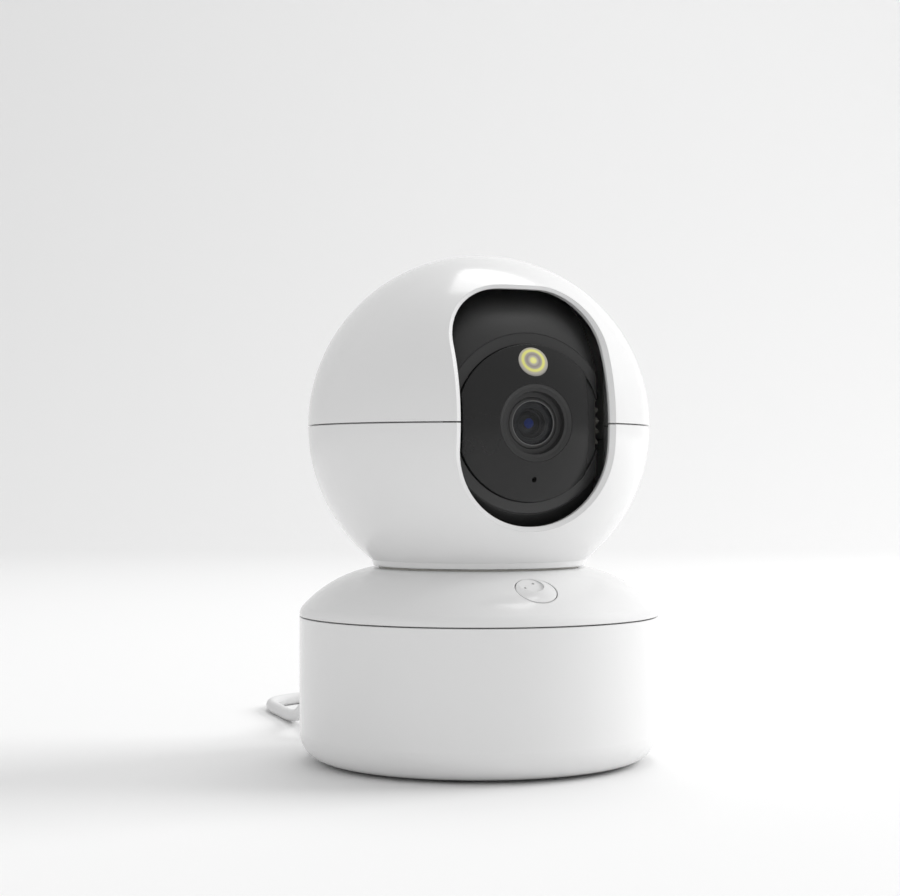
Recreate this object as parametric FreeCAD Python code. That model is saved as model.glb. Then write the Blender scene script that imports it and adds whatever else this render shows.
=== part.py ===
"""Indoor pan-and-tilt security camera: a round base, a ball-shaped head that pans on it, and a black lens
ball that tilts in the head's window.  A power cord leaves the back of the base.

Millimetres, +Z up, front towards -Y, origin at the centre of the base on the surface it stands on.
Parts of the head are drawn about the head's centre and lifted into place by in_head().
"""

import FreeCAD
import Part
import math
import os

V = FreeCAD.Vector
X_AXIS, Y_AXIS, Z_AXIS = V(1, 0, 0), V(0, 1, 0), V(0, 0, 1)

# ---------------------------------------------------------------- driving sizes
# Clearances
SEAM = 0.3            # visible groove where two casings meet
RUN = 0.08            # radial clearance of a turning fit
GAP = 0.3             # clearance between a moving part and what it passes
SLIP = 0.1            # clearance of a part that drops into a pocket
CONTACT = 0.02        # a hair of air between parts that only rest on each other

# Base
BASE_R = 42.0         # outside radius of the base
CUP_WALL = 2.2        # wall and floor of the cup
CUP_EDGE_R = 6.5      # round edge at the cup's foot
FOOT_PROUD = 0.6      # how far the rubber foot stands out of the cup
SEAM_Z = 34.0         # height of the seam between cup and cover
LIP_DEPTH = 4.0       # how far the cover's lip goes into the cup
BASE_LIP_T = 1.9
SHOULDER_R = 3.35     # rounding of the cover at the seam
SHOULDER_SLOPE = 47.0 # slope of the cover where the rounding ends, degrees
CROWN_SLOPE = 10.0    # slope of the cover under the head, degrees
COVER_WALL = 2.0
FOOT_RING_R = 30.0    # outside radius of the rubber foot
FOOT_RING_W = 5.0
FOOT_RING_T = 1.6

# Head
HEAD_R = 40.0         # outside radius of the head's ball
HEAD_WALL = 2.0
NECK_R = 24.8         # radius of the head's flat underside
NECK_DROP = 32.4      # from the head's centre down to that underside
HEAD_GAP = 0.5        # air between the head's underside and the base cover
HUB_R = 19.4          # outside radius of the hollow hub the head turns on
HUB_BORE = 17.0
HUB_DEPTH = 7.6       # how far the hub goes down below the neck's underside
PLATE_T = 2.4         # thickness of the cover's plate round the hub
COLLAR_DEPTH = 6.6    # the cover's collar, below the plate's top
COLLAR_T = 1.9
SLIP_RING_T = 1.5     # radial thickness of the plastic slip ring
SLIP_FLANGE_R = 23.4
SLIP_FLANGE_T = 0.8
SLIP_PROUD = 0.35     # how far the slip ring's flange stands above the cover

# Window in the head, drawn as seen from the front, about the head's centre
WINDOW_HALF = 17.7
WINDOW_TOP = 30.1
WINDOW_BOTTOM = -22.8
WINDOW_TOP_R = 13.0
WINDOW_BOTTOM_R = 17.3
WINDOW_BEVEL = 1.3

# Lens ball
BALL_R = 35.7
BALL_WALL = 1.5
BALL_HALF = 16.6      # half its width between the flat sides
BALL_TOP_DEG = 76.0   # how far its skin goes up and down from the lens axis
BALL_BOTTOM_DEG = -73.0
BALL_BACK = 8.2       # its flat back, behind the tilt axis
BALL_BACK_HALF = 20.0 # half the height of that flat back
BACK_LEDGE = 2.4      # rim left round the opening in the flat back
FACE_R = 35.6         # outer radius of the glossy face
FACE_EDGE_R = 17.4    # round edge of the face, across the lens axis
FACE_RIGHT = 13.3     # from the lens axis to the face's right-hand flat
FACE_LEFT_EDGE = 0.4  # from the ball's left side to the face's left-hand flat
FACE_WALL = 1.6
RING_R = 19.95        # outer edge of the trim ring
PANEL_V = 28.6        # front of the flat panel behind the face, ahead of the tilt axis
PANEL_T = 1.6
BEZEL_R = 8.5
BEZEL_RECESS_R = 6.95
BEZEL_FRONT = 34.0
BEZEL_DEPTH = 1.6     # depth of the recess in the bezel
LENS_R = 4.75
LENS_RISE = 1.3       # height of the front lens's dome
LENS_SEAT = 1.2       # depth of the lens's seat in the barrel
BARREL_R = 5.6
HOLDER_HALF = 7.0
SENSOR_SCREWS = ((6.4 - BALL_HALF, 9.0), (BALL_HALF - 6.4, -9.0))
BOARD_SIDE = 3.6      # from the ball's flat side to the edge of a board inside it
SENSOR_V = 8.0        # face of the sensor board, ahead of the tilt axis
LENS_SOCKET_T = 2.0   # height of the wires' socket on the sensor board
SPOT_Z = 13.5         # height of the spotlight over the lens
SPOT_R = 3.45
SPOT_BOARD_R = 3.0
SPOT_BOARD_T = 0.8
SPOT_BOARD_AT = 30.8  # back of the lamp's board, from the tilt axis
MIC_Z = -12.4
MIC_HOLE_R = 0.55
MIC_R = 2.5
CARD_DEG = -46.0      # direction of the card slot and reset button, below the lens axis
CARD_HALF = 6.1
CARD_T = 1.7
CARD_DEEP = 12.0
CARD_SHIFT = -2.5
RESET_X = 10.4
RESET_R = 1.4
RESET_TRAVEL = 0.5

# Drive
MODULE = 0.8
PRESSURE_DEG = 25.0
BACKLASH = 0.16
PINION_TEETH = 12
PAN_TEETH = 60
TILT_TEETH = 36
GEAR_T = 4.0
TILT_GEAR_T = 3.2
PAN_MOTOR_DEG = 180.0 # where the pan motor stands round the axis
PAN_MOTOR_R = 12.0
PAN_MOTOR_H = 16.5
PAN_MOTOR_OFFSET = 6.0
TILT_MOTOR_DEG = -15.0 # direction of the tilt motor's shaft behind the tilt axis
TILT_MOTOR_R = 9.0
TILT_MOTOR_L = 13.5
TILT_MOTOR_BACK = 4.0 # its axis behind its shaft
SHAFT_R = 1.5
EAR_T = 1.0
EAR_R = 3.0           # round ends of the pan motor's ears
AXLE_R = 3.95
AXLE_BORE = 2.4
BUSH_R = 5.0
BRACKET_X = 18.2      # inner face of the side brackets
BRACKET_T = 2.0
BRACKET_HALF = 8.0
FOOT_Z = -24.0        # underside of the brackets' feet, from the head's centre
FOOT_LEN = 8.6
GEAR_GAP = 0.6
MAIN_BOARD_X = 23.8   # inner face of the main board, left of the tilt axis
HUB_SCREW_DEGS = (90.0, 210.0, 330.0)
HUB_SCREW_AT = 18.2
HEAD_POST_X, HEAD_POST_Y = 29.0, 12.5
PEG_R = 1.2
LIP_T = 1.3
SHIELD_HALF_Y = 8.0
MAIN_BOARD_POSTS = ((-5.6, -16.0), (5.6, -16.0), (0.0, 11.5))

# Call button, on the front of the cover
BUTTON_R = 4.6
BUTTON_AT = 34.5      # distance of its centre from the axis
BUTTON_GAP = 0.2
BUTTON_PROUD = 0.35
BUTTON_DOME_R = 18.0
DISH_R, DISH_FLOOR = 2.8, -0.25
DISH_X, DISH_Y = -0.6, 1.7
DIMPLE_R = 0.32
BUTTON_TRAVEL = 0.6
BUTTON_FLANGE_DROP = 1.0 # from the cover's underside to the button's flange, on its axis
BUTTON_BOARD_DEEP = 9.2 # button board's face, below the cover's skin
BUTTON_POST_X = 8.2
SWITCH_SIDE = 5.6
SWITCH_H = 3.4

# Power socket, plug and cord
PORT_Z = 11.8
PORT_HALF_W = 6.0
PORT_HALF_H = 4.2
PORT_FLOOR_Y = BASE_R - 3.8 # floor of the port's pocket
PORT_WALL = 1.6       # wall of the pocket behind the port
SOCKET_HALF_W, SOCKET_UP, SOCKET_DEEP = 3.75, 1.4, 5.6
SOCKET_WALL = 0.3
TONGUE_UP = 0.9       # half the thickness of the plug's tongue
PLUG_LEN = 12.4
CORD_D = 3.3
RELIEF_X = -5.0       # where the cord's relief leaves the plug
RELIEF_LEN = 5.5
COIL_X, COIL_Y = 15.4, BASE_R + 47.8
COIL_ENTRY_DEG = 75.0 # where the lead meets the coil
COIL_MID_R = 18.5     # middle of its turns
COIL_COLUMNS = 6
COIL_LAYERS = 2
TIE_T, TIE_W = 0.5, 6.0
TIE_DEG = 250.0
USB_LEN, USB_W, USB_H = 21.0, 15.0, 7.6
USB_RELIEF_LEN = 5.0
USB_SHELL_LEN, USB_SHELL_W, USB_SHELL_H = 12.0, 12.0, 4.5

# Inside the base
BOARD_T = 1.6
THIN_BOARD_T = 1.2
BOARD_Z = 8.8         # underside of the base board
BOARD_SCREWS = ((-6.0, 11.5), (6.0, 11.5), (-6.6, 26.0), (6.6, 26.0))
LOOM_TOP_Z = 31.0     # where the base's wires meet the head's, on the pan axis
SPEAKER_R = 13.0
SPEAKER_DEG = 30.0
SPEAKER_DEEP = 7.0
SPEAKER_LIFT = 1.6    # air between the speaker and the cup's floor
GRILLE_HOLE_R = 0.75
GRILLE_PITCH = 2.9
GRILLE_RINGS = 2      # rings of sound holes round the middle one
POST_R = 2.9
POST_AT = 33.0
POST_DEGS = (120.0, 240.0, 335.0)
POST_JOIN_Z = 20.0
SCREW_R = 1.1
SCREW_HEAD_R = 2.1
SCREW_HEAD_H = 1.4
SCREW_FIT = 0.05      # radial clearance of a screw in its hole
SCREW_SEAT_Z = 8.0    # seat of the long casing screws
SMALL_R, SMALL_HEAD_R, SMALL_HEAD_H = 0.7, 1.4, 0.9
STAND_R = 2.4         # radius of the stands that small screws go into
INSERT_R = 4.5
INSERT_BORE_R = 2.65
INSERT_LEN = 7.5

# ---------------------------------------------------------------- sizes worked out from those
SIN_S, COS_S = math.sin(math.radians(SHOULDER_SLOPE)), math.cos(math.radians(SHOULDER_SLOPE))
SIN_C, COS_C = math.sin(math.radians(CROWN_SLOPE)), math.cos(math.radians(CROWN_SLOPE))
CROWN_EDGE_R = NECK_R + 0.1
CROWN_R = (BASE_R - SHOULDER_R * (1 - SIN_S) - CROWN_EDGE_R) / (SIN_S - SIN_C)
COVER_FOOT_Z = SEAM_Z + SEAM / 2
COVER_TOP_Z = COVER_FOOT_Z + SHOULDER_R * COS_S + CROWN_R * (COS_C - COS_S)
NECK_Z = COVER_TOP_Z + HEAD_GAP
HEAD_Z = NECK_Z + NECK_DROP
HEAD_INNER_R = HEAD_R - HEAD_WALL
BALL_CLEAR_R = BALL_R + 0.6
HUB_FOOT_Z = NECK_Z - HUB_DEPTH
CUP_FLOOR_Z = FOOT_PROUD + CUP_WALL
CUP_INNER_R = BASE_R - CUP_WALL
PAN_PITCH_R = MODULE * PAN_TEETH / 2
TILT_PITCH_R = MODULE * TILT_TEETH / 2
PINION_PITCH_R = MODULE * PINION_TEETH / 2
PAN_CENTRES = PAN_PITCH_R + PINION_PITCH_R
TILT_CENTRES = TILT_PITCH_R + PINION_PITCH_R
PAN_GEAR_Z = HUB_FOOT_Z - GEAR_T
PAN_MOTOR_TOP = PAN_GEAR_Z - 1.2
GEAR_X = BRACKET_X + BRACKET_T + GEAR_GAP
PANEL_BACK = PANEL_V - PANEL_T
COIL_HALF_W = COIL_COLUMNS * CORD_D / 2
COIL_Z = TIE_T + 0.05
COIL_H = COIL_LAYERS * CORD_D
PLUG_Y = PORT_FLOOR_Y + GAP
PLUG_EXIT_Y = PLUG_Y + PLUG_LEN * 0.64
SOCKET_Y = PORT_FLOOR_Y - PORT_WALL - SLIP
USB_X, USB_Y, USB_Z = COIL_X + 31.0, COIL_Y - 20.0, USB_H / 2
RESET_TOP = math.sqrt(BALL_R ** 2 - RESET_X ** 2) - 0.5
RESET_SWITCH_TOP = BALL_R - BALL_WALL - 4.8


# ---------------------------------------------------------------- building blocks
def cyl(radius, length, at=V(0, 0, 0), along=Z_AXIS):
    return Part.makeCylinder(radius, length, at, along)


def ring(outer, inner, length, at=V(0, 0, 0), along=Z_AXIS):
    """A plain tube."""
    return cyl(outer, length, at, along).cut(cyl(inner, length, at, along))


def block(x0, x1, y0, y1, z0, z1):
    return Part.makeBox(x1 - x0, y1 - y0, z1 - z0, V(x0, y0, z0))


def ball(radius, at=V(0, 0, 0)):
    return Part.makeSphere(radius, at)


def arc(a, m, b):
    return Part.Arc(a, m, b).toShape()


def line(a, b):
    return Part.LineSegment(a, b).toShape()


def lathe(edges):
    """Turns a closed profile in the X-Z plane round the Z axis."""
    return Part.Face(Part.Wire(edges)).revolve(V(0, 0, 0), Z_AXIS, 360)


def lathe_points(points):
    corners = [V(r, 0, z) for r, z in points]
    return Part.Face(Part.makePolygon(corners + corners[:1])).revolve(V(0, 0, 0), Z_AXIS, 360)


def at_angle(radius, degrees, z=0.0):
    a = math.radians(degrees)
    return V(radius * math.cos(a), radius * math.sin(a), z)


def aimed(shape, direction, at):
    """Moves a shape drawn along +Z so that it starts at a point and runs in a direction."""
    made = shape.copy()
    made.Placement = FreeCAD.Placement(at, FreeCAD.Rotation(Z_AXIS, direction))
    return made


def in_head(shape):
    made = shape.copy()
    made.translate(V(0, 0, HEAD_Z))
    return made


def fused(first, *others):
    made = first
    for other in others:
        made = made.fuse(other)
    return made.removeSplitter()


def group(shapes):
    return Part.makeCompound(shapes)


def screw(length, at, direction, shank=SCREW_R, head=SCREW_HEAD_R, head_h=SCREW_HEAD_H):
    """A pan-head screw with a cross recess: its head's underside is at the point, its shank in the direction."""
    body = cyl(shank, length).fuse(cyl(head, head_h, V(0, 0, -head_h)))
    slot_half, slot_deep = head * 0.65, head_h * 0.55
    for half_x, half_y in ((slot_half, head * 0.14), (head * 0.14, slot_half)):
        body = body.cut(block(-half_x, half_x, -half_y, half_y, -head_h - 0.1, slot_deep - head_h))
    return aimed(body, direction, at)


def small_screw(length, at, direction):
    return screw(length, at, direction, SMALL_R, SMALL_HEAD_R, SMALL_HEAD_H)


def screw_hole(length, at, direction, shank=SCREW_R):
    return aimed(cyl(shank + SCREW_FIT, length), direction, at)


def rounded_outline(half, top, bottom, top_r, bottom_r, y):
    """A closed outline in a plane across Y: straight sides, round corners."""
    def corner(cx, cz, radius, start):
        points = [V(cx + radius * math.cos(math.radians(start + d)), y,
                    cz + radius * math.sin(math.radians(start + d))) for d in (0, 45, 90)]
        return points
    corners = (corner(half - top_r, top - top_r, top_r, 0),
               corner(top_r - half, top - top_r, top_r, 90),
               corner(bottom_r - half, bottom + bottom_r, bottom_r, 180),
               corner(half - bottom_r, bottom + bottom_r, bottom_r, 270))
    edges = []
    for i, (a, m, b) in enumerate(corners):
        edges.append(arc(a, m, b))
        following = corners[(i + 1) % 4][0]
        if b.distanceToPoint(following) > 1e-6:
            edges.append(line(b, following))
    return Part.Wire(edges)


def gear(teeth, thickness, tooth_deg):
    """A spur gear along +Z with involute teeth, one of them centred on tooth_deg."""
    pitch = MODULE * teeth / 2
    base = pitch * math.cos(math.radians(PRESSURE_DEG))
    tip, root = pitch + MODULE, pitch - 1.25 * MODULE
    pressure = math.radians(PRESSURE_DEG)
    half_tooth = math.pi / (2 * teeth) - BACKLASH / (4 * pitch) + math.tan(pressure) - pressure

    def flank_angle(radius):
        a = math.acos(min(1.0, base / radius))
        return half_tooth - (math.tan(a) - a)

    start = max(base, root)
    radii = [start + (tip - start) * k / 4 for k in range(5)]
    edges = []
    for n in range(teeth):
        middle = math.radians(tooth_deg) + 2 * math.pi * n / teeth

        def point(radius, angle):
            return V(radius * math.cos(middle + angle), radius * math.sin(middle + angle), 0)

        rising = [point(r, -flank_angle(r)) for r in radii]
        falling = [point(r, flank_angle(r)) for r in reversed(radii)]
        gap = math.pi / teeth
        foot = flank_angle(start)
        if root < base:
            edges.append(line(point(root, -foot), rising[0]))
        for side in (rising, falling):
            curve = Part.BSplineCurve()
            curve.interpolate(side)
            if side is falling:
                edges.append(arc(rising[-1], point(tip, 0), falling[0]))
            edges.append(curve.toShape())
        if root < base:
            edges.append(line(falling[-1], point(root, foot)))
        edges.append(arc(point(root, foot), point(root, gap), point(root, 2 * gap - foot)))
    return Part.Face(Part.Wire(edges)).extrude(V(0, 0, thickness))


# ---------------------------------------------------------------- base: casings
def crown_point(radius, wall=0.0):
    """Height and slope (degrees) of the cover's domed skin, or of a skin inside it, at a radius."""
    centre_r = CROWN_EDGE_R - CROWN_R * SIN_C
    centre_z = COVER_TOP_Z - CROWN_R * COS_C
    slope = math.asin((radius - centre_r) / (CROWN_R - wall))
    return centre_z + (CROWN_R - wall) * math.cos(slope), math.degrees(slope)


def cover_skin(wall):
    """Edges of the domed skin in the X-Z plane, from the seam up to the crown's edge, set in by a wall."""
    crown = V(CROWN_EDGE_R - CROWN_R * SIN_C, 0, COVER_TOP_Z - CROWN_R * COS_C)
    shoulder = V(BASE_R - SHOULDER_R, 0, COVER_FOOT_Z)

    def on(centre, radius, slope):
        a = math.radians(slope)
        return centre + V(radius * math.sin(a), 0, radius * math.cos(a))

    r1, r2 = SHOULDER_R - wall, CROWN_R - wall
    a, b, c = (on(shoulder, r1, s) for s in (90, (90 + SHOULDER_SLOPE) / 2, SHOULDER_SLOPE))
    d, e = (on(crown, r2, s) for s in ((SHOULDER_SLOPE + CROWN_SLOPE) / 2, CROWN_SLOPE))
    return [arc(a, b, c), arc(c, d, e)], a, e


def button_frame():
    """Centre of the call button on the cover's skin, and the outward normal there."""
    height, slope = crown_point(BUTTON_AT)
    a = math.radians(slope)
    return V(0, -BUTTON_AT, height), V(0, -math.sin(a), math.cos(a))


def on_button(shape):
    """Places a shape drawn round +Z on the call button's axis, its height counted from the cover's skin."""
    centre, normal = button_frame()
    made = shape.copy()
    turn = FreeCAD.Rotation(X_AXIS, normal.cross(X_AXIS), normal, "ZXY")
    made.Placement = FreeCAD.Placement(centre, turn).multiply(shape.Placement)
    return made


def port_prism(half_w, half_h, y0, y1):
    """The power port's rounded slot shape, running along Y."""
    outline = rounded_outline(half_w, half_h, -half_h, 1.5, 1.5, y0)
    solid = Part.Face(outline).extrude(V(0, y1 - y0, 0))
    solid.translate(V(0, 0, PORT_Z))
    return solid


def base_posts(z0, z1, radius):
    return [cyl(radius, z1 - z0, at_angle(POST_AT, a, z0)) for a in POST_DEGS]


def base_cup():
    foot = FOOT_PROUD
    inner_edge = CUP_EDGE_R - CUP_WALL
    outer_mid, inner_mid = (edge * (1 - math.sqrt(0.5)) for edge in (CUP_EDGE_R, inner_edge))
    rim = SEAM_Z - SEAM / 2
    shell = lathe([
        line(V(0, 0, foot), V(BASE_R - CUP_EDGE_R, 0, foot)),
        arc(V(BASE_R - CUP_EDGE_R, 0, foot), V(BASE_R - outer_mid, 0, foot + outer_mid),
            V(BASE_R, 0, foot + CUP_EDGE_R)),
        line(V(BASE_R, 0, foot + CUP_EDGE_R), V(BASE_R, 0, rim)),
        line(V(BASE_R, 0, rim), V(CUP_INNER_R, 0, rim)),
        line(V(CUP_INNER_R, 0, rim), V(CUP_INNER_R, 0, CUP_FLOOR_Z + inner_edge)),
        arc(V(CUP_INNER_R, 0, CUP_FLOOR_Z + inner_edge),
            V(CUP_INNER_R - inner_mid, 0, CUP_FLOOR_Z + inner_mid),
            V(CUP_INNER_R - inner_edge, 0, CUP_FLOOR_Z)),
        line(V(CUP_INNER_R - inner_edge, 0, CUP_FLOOR_Z), V(0, 0, CUP_FLOOR_Z)),
        line(V(0, 0, CUP_FLOOR_Z), V(0, 0, foot)),
    ])
    boss = cyl(INSERT_R + CUP_WALL, INSERT_LEN + 1.5, V(0, 0, foot))
    posts = base_posts(foot, POST_JOIN_Z - CONTACT, POST_R)
    stands = [cyl(STAND_R, BOARD_Z - CONTACT - foot, V(x, y, foot)) for x, y in BOARD_SCREWS]
    motor = pan_motor_centre()
    ear_foot = PAN_MOTOR_TOP - EAR_T - CONTACT - foot
    ear_posts = [cyl(EAR_R, ear_foot, V(motor.x, y, foot)) for y in pan_ear_ys()]
    pocket = port_prism(PORT_HALF_W + PORT_WALL, PORT_HALF_H + PORT_WALL, PORT_FLOOR_Y - PORT_WALL, BASE_R)
    pocket = pocket.common(cyl(BASE_R - 0.5, SEAM_Z))
    cup = fused(shell, boss, pocket, *posts, *stands, *ear_posts)
    cup = cup.cut(port_prism(PORT_HALF_W, PORT_HALF_H, PORT_FLOOR_Y, BASE_R + 5))
    cup = cup.cut(port_prism(SOCKET_HALF_W + 0.55, SOCKET_UP + 0.5, PORT_FLOOR_Y - 3, BASE_R))
    cup = cup.cut(ring(FOOT_RING_R + SLIP, FOOT_RING_R - FOOT_RING_W - SLIP, FOOT_RING_T))
    cup = cup.cut(cyl(INSERT_R, INSERT_LEN, V(0, 0, foot)))
    for a in POST_DEGS:
        cup = cup.cut(cyl(SCREW_HEAD_R + 2 * SLIP, SCREW_SEAT_Z - foot, at_angle(POST_AT, a, foot)))
        cup = cup.cut(screw_hole(30, at_angle(POST_AT, a, 5.0), Z_AXIS))
    for x, y in BOARD_SCREWS:
        cup = cup.cut(screw_hole(4.5, V(x, y, BOARD_Z + BOARD_T), -Z_AXIS))
    for y in pan_ear_ys():
        cup = cup.cut(screw_hole(6.5, V(motor.x, y, PAN_MOTOR_TOP), -Z_AXIS))
    facing = at_angle(1, SPEAKER_DEG)
    for across, up in grille_holes():
        at = facing * (CUP_INNER_R - 4) + facing.cross(Z_AXIS) * across + V(0, 0, speaker_z() + up)
        cup = cup.cut(cyl(GRILLE_HOLE_R, 8, at, facing))
    return cup


def grille_holes():
    """Centres of the speaker's sound holes: a hexagon of holes."""
    found = []
    for row in range(-GRILLE_RINGS, GRILLE_RINGS + 1):
        count = 2 * GRILLE_RINGS + 1 - abs(row)
        for n in range(count):
            found.append(((n - (count - 1) / 2) * GRILLE_PITCH, row * GRILLE_PITCH * math.sqrt(0.75)))
    return found


def speaker_z():
    return CUP_FLOOR_Z + SPEAKER_R + SPEAKER_LIFT


def base_cover():
    outer, foot_out, top_out = cover_skin(0.0)
    inner, foot_in, top_in = cover_skin(COVER_WALL)
    middle_top = cover_skin(COVER_WALL / 2)[2]
    top = COVER_TOP_Z
    lip_out, lip_in = CUP_INNER_R - SLIP, CUP_INNER_R - SLIP - BASE_LIP_T
    bore = HUB_R + RUN + SLIP_RING_T
    collar = bore + COLLAR_T
    plate = top - PLATE_T
    edges = outer + [
        line(top_out, V(bore, 0, top)),
        line(V(bore, 0, top), V(bore, 0, top - COLLAR_DEPTH)),
        line(V(bore, 0, top - COLLAR_DEPTH), V(collar, 0, top - COLLAR_DEPTH)),
        line(V(collar, 0, top - COLLAR_DEPTH), V(collar, 0, plate)),
        line(V(collar, 0, plate), V(top_in.x, 0, plate)),
        line(V(top_in.x, 0, plate), top_in),
    ] + inner + [
        line(foot_in, V(lip_in, 0, COVER_FOOT_Z)),
        line(V(lip_in, 0, COVER_FOOT_Z), V(lip_in, 0, COVER_FOOT_Z - LIP_DEPTH)),
        line(V(lip_in, 0, COVER_FOOT_Z - LIP_DEPTH), V(lip_out, 0, COVER_FOOT_Z - LIP_DEPTH)),
        line(V(lip_out, 0, COVER_FOOT_Z - LIP_DEPTH), V(lip_out, 0, COVER_FOOT_Z)),
        line(V(lip_out, 0, COVER_FOOT_Z), foot_out),
    ]
    cover = lathe(Part.__sortEdges__(edges))
    under_skin = lathe(Part.__sortEdges__(cover_skin(COVER_WALL / 2)[0] + [
        line(V(foot_out.x - COVER_WALL / 2, 0, COVER_FOOT_Z), V(foot_out.x - COVER_WALL / 2, 0, 0)),
        line(V(foot_out.x - COVER_WALL / 2, 0, 0), V(0, 0, 0)),
        line(V(0, 0, 0), V(0, 0, middle_top.z)), line(V(0, 0, middle_top.z), middle_top)]))
    posts = base_posts(POST_JOIN_Z, top, POST_R)
    posts += [on_button(cyl(1.7, BUTTON_BOARD_DEEP, V(x, 0, CONTACT - BUTTON_BOARD_DEEP)))
              for x in (-BUTTON_POST_X, BUTTON_POST_X)]
    cover = fused(cover, *[post.common(under_skin) for post in posts])
    for a in POST_DEGS:
        cover = cover.cut(screw_hole(12, at_angle(POST_AT, a, POST_JOIN_Z - 1), Z_AXIS))
    for x in (-BUTTON_POST_X, BUTTON_POST_X):
        cover = cover.cut(on_button(screw_hole(4, V(x, 0, -BUTTON_BOARD_DEEP - 1), Z_AXIS, SMALL_R)))
    cover = cover.cut(on_button(cyl(BUTTON_R + BUTTON_GAP, 8, V(0, 0, -COVER_WALL - 1))))
    flange_z = top + SLIP_PROUD - SLIP_FLANGE_T
    return cover.cut(ring(SLIP_FLANGE_R + SLIP, bore - 0.5, SLIP_FLANGE_T, V(0, 0, flange_z)))


def foot_ring():
    return ring(FOOT_RING_R, FOOT_RING_R - FOOT_RING_W, FOOT_RING_T - CONTACT)


def tripod_insert():
    body = cyl(INSERT_R, INSERT_LEN, V(0, 0, FOOT_PROUD))
    return body.cut(cyl(INSERT_BORE_R, INSERT_LEN, V(0, 0, FOOT_PROUD)))


def base_screws():
    return group([screw(19.0, at_angle(POST_AT, a, SCREW_SEAT_Z), Z_AXIS) for a in POST_DEGS])


def pan_slip_ring():
    inner = HUB_R + RUN
    outer = inner + SLIP_RING_T
    top = COVER_TOP_Z + SLIP_PROUD
    sleeve = ring(outer, inner, COLLAR_DEPTH, V(0, 0, COVER_TOP_Z - COLLAR_DEPTH))
    flange = ring(SLIP_FLANGE_R, inner, SLIP_FLANGE_T, V(0, 0, top - SLIP_FLANGE_T))
    return fused(sleeve, flange)


# ---------------------------------------------------------------- base: drive and electronics
def pan_shaft_centre():
    return at_angle(PAN_CENTRES, PAN_MOTOR_DEG)


def pan_motor_centre():
    return at_angle(PAN_CENTRES - PAN_MOTOR_OFFSET, PAN_MOTOR_DEG)


def pan_ear_ys():
    reach = PAN_MOTOR_R + 3.6
    return (-reach, reach)


def pan_motor():
    centre, shaft = pan_motor_centre(), pan_shaft_centre()
    top = PAN_MOTOR_TOP
    can = cyl(PAN_MOTOR_R, PAN_MOTOR_H, centre + V(0, 0, top - PAN_MOTOR_H))
    reach = pan_ear_ys()[1]
    ears = block(centre.x - EAR_R, centre.x + EAR_R, -reach, reach, top - EAR_T, top)
    for y in pan_ear_ys():
        ears = ears.fuse(cyl(EAR_R, EAR_T, V(centre.x, y, top - EAR_T)))
    side = centre.x + PAN_MOTOR_R
    lead_box = block(side - 2, side + 2, -5, 5, top - PAN_MOTOR_H + 1, top - 5)
    boss = cyl(3.0, 0.8, shaft + V(0, 0, top))
    motor = fused(can, ears, lead_box, boss)
    motor = motor.cut(cyl(SHAFT_R + RUN, PAN_MOTOR_H, shaft + V(0, 0, top - 6)))
    for y in pan_ear_ys():
        motor = motor.cut(screw_hole(5, V(centre.x, y, top + 1), -Z_AXIS))
    return motor


def pan_motor_shaft():
    return cyl(SHAFT_R, GEAR_T + 5.5, pan_shaft_centre() + V(0, 0, PAN_MOTOR_TOP - 5.0))


def pan_pinion():
    made = gear(PINION_TEETH, GEAR_T, PAN_MOTOR_DEG + 180 + 180 / PINION_TEETH)
    made.translate(pan_shaft_centre() + V(0, 0, PAN_GEAR_Z))
    return made.cut(cyl(SHAFT_R, 20, pan_shaft_centre() + V(0, 0, PAN_GEAR_Z - 5)))


def base_board():
    board = block(-9.0, 9.0, 8.6, 35.0, BOARD_Z, BOARD_Z + BOARD_T)
    for x, y in BOARD_SCREWS:
        board = board.cut(screw_hole(4, V(x, y, BOARD_Z - 1), Z_AXIS))
    top = BOARD_Z + BOARD_T
    chips = [block(-4.5, 0.5, 14, 19, top, top + 1.0), block(2.5, 6.0, 15, 20.5, top, top + 1.4),
             cyl(2.5, 5.0, V(-1.0, 24.0, top)), block(-2.5, 2.5, 8.8, 12.0, top, top + 4.0)]
    return fused(board, *chips)


def power_socket():
    """Small metal receptacle on the board's back edge, open towards the port."""
    half, up, back = SOCKET_HALF_W, SOCKET_UP, SOCKET_Y - SOCKET_DEEP
    shell = block(-half, half, back, SOCKET_Y, BOARD_Z + BOARD_T, PORT_Z + up)
    room_half, room_up = half - SOCKET_WALL, TONGUE_UP + CONTACT * 2
    return shell.cut(block(-room_half, room_half, back + 0.4, SOCKET_Y + 1, PORT_Z - room_up, PORT_Z + room_up))


def speaker():
    """Round loudspeaker behind the sound holes: basket, magnet and dished cone in one bought-in unit."""
    facing = at_angle(1, SPEAKER_DEG)
    front = math.sqrt(CUP_INNER_R ** 2 - SPEAKER_R ** 2) - 0.3
    basket = lathe_points([(0, 0), (6.5, 0), (6.5, 3.2), (SPEAKER_R - 1, 4.4), (SPEAKER_R, 5.0),
                           (SPEAKER_R, SPEAKER_DEEP), (SPEAKER_R - 1.6, SPEAKER_DEEP),
                           (5.0, 5.4), (3.0, 6.2), (0, 6.6)])
    return aimed(basket, facing, facing * (front - SPEAKER_DEEP) + V(0, 0, speaker_z()))


def button_board():
    half = BUTTON_POST_X + 2.0
    board = block(-half, half, -3.6, 3.6, -BUTTON_BOARD_DEEP - THIN_BOARD_T, -BUTTON_BOARD_DEEP)
    for x in (-BUTTON_POST_X, BUTTON_POST_X):
        board = board.cut(screw_hole(4, V(x, 0, -BUTTON_BOARD_DEEP - 2), Z_AXIS, SMALL_R))
    return on_button(board)


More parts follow.
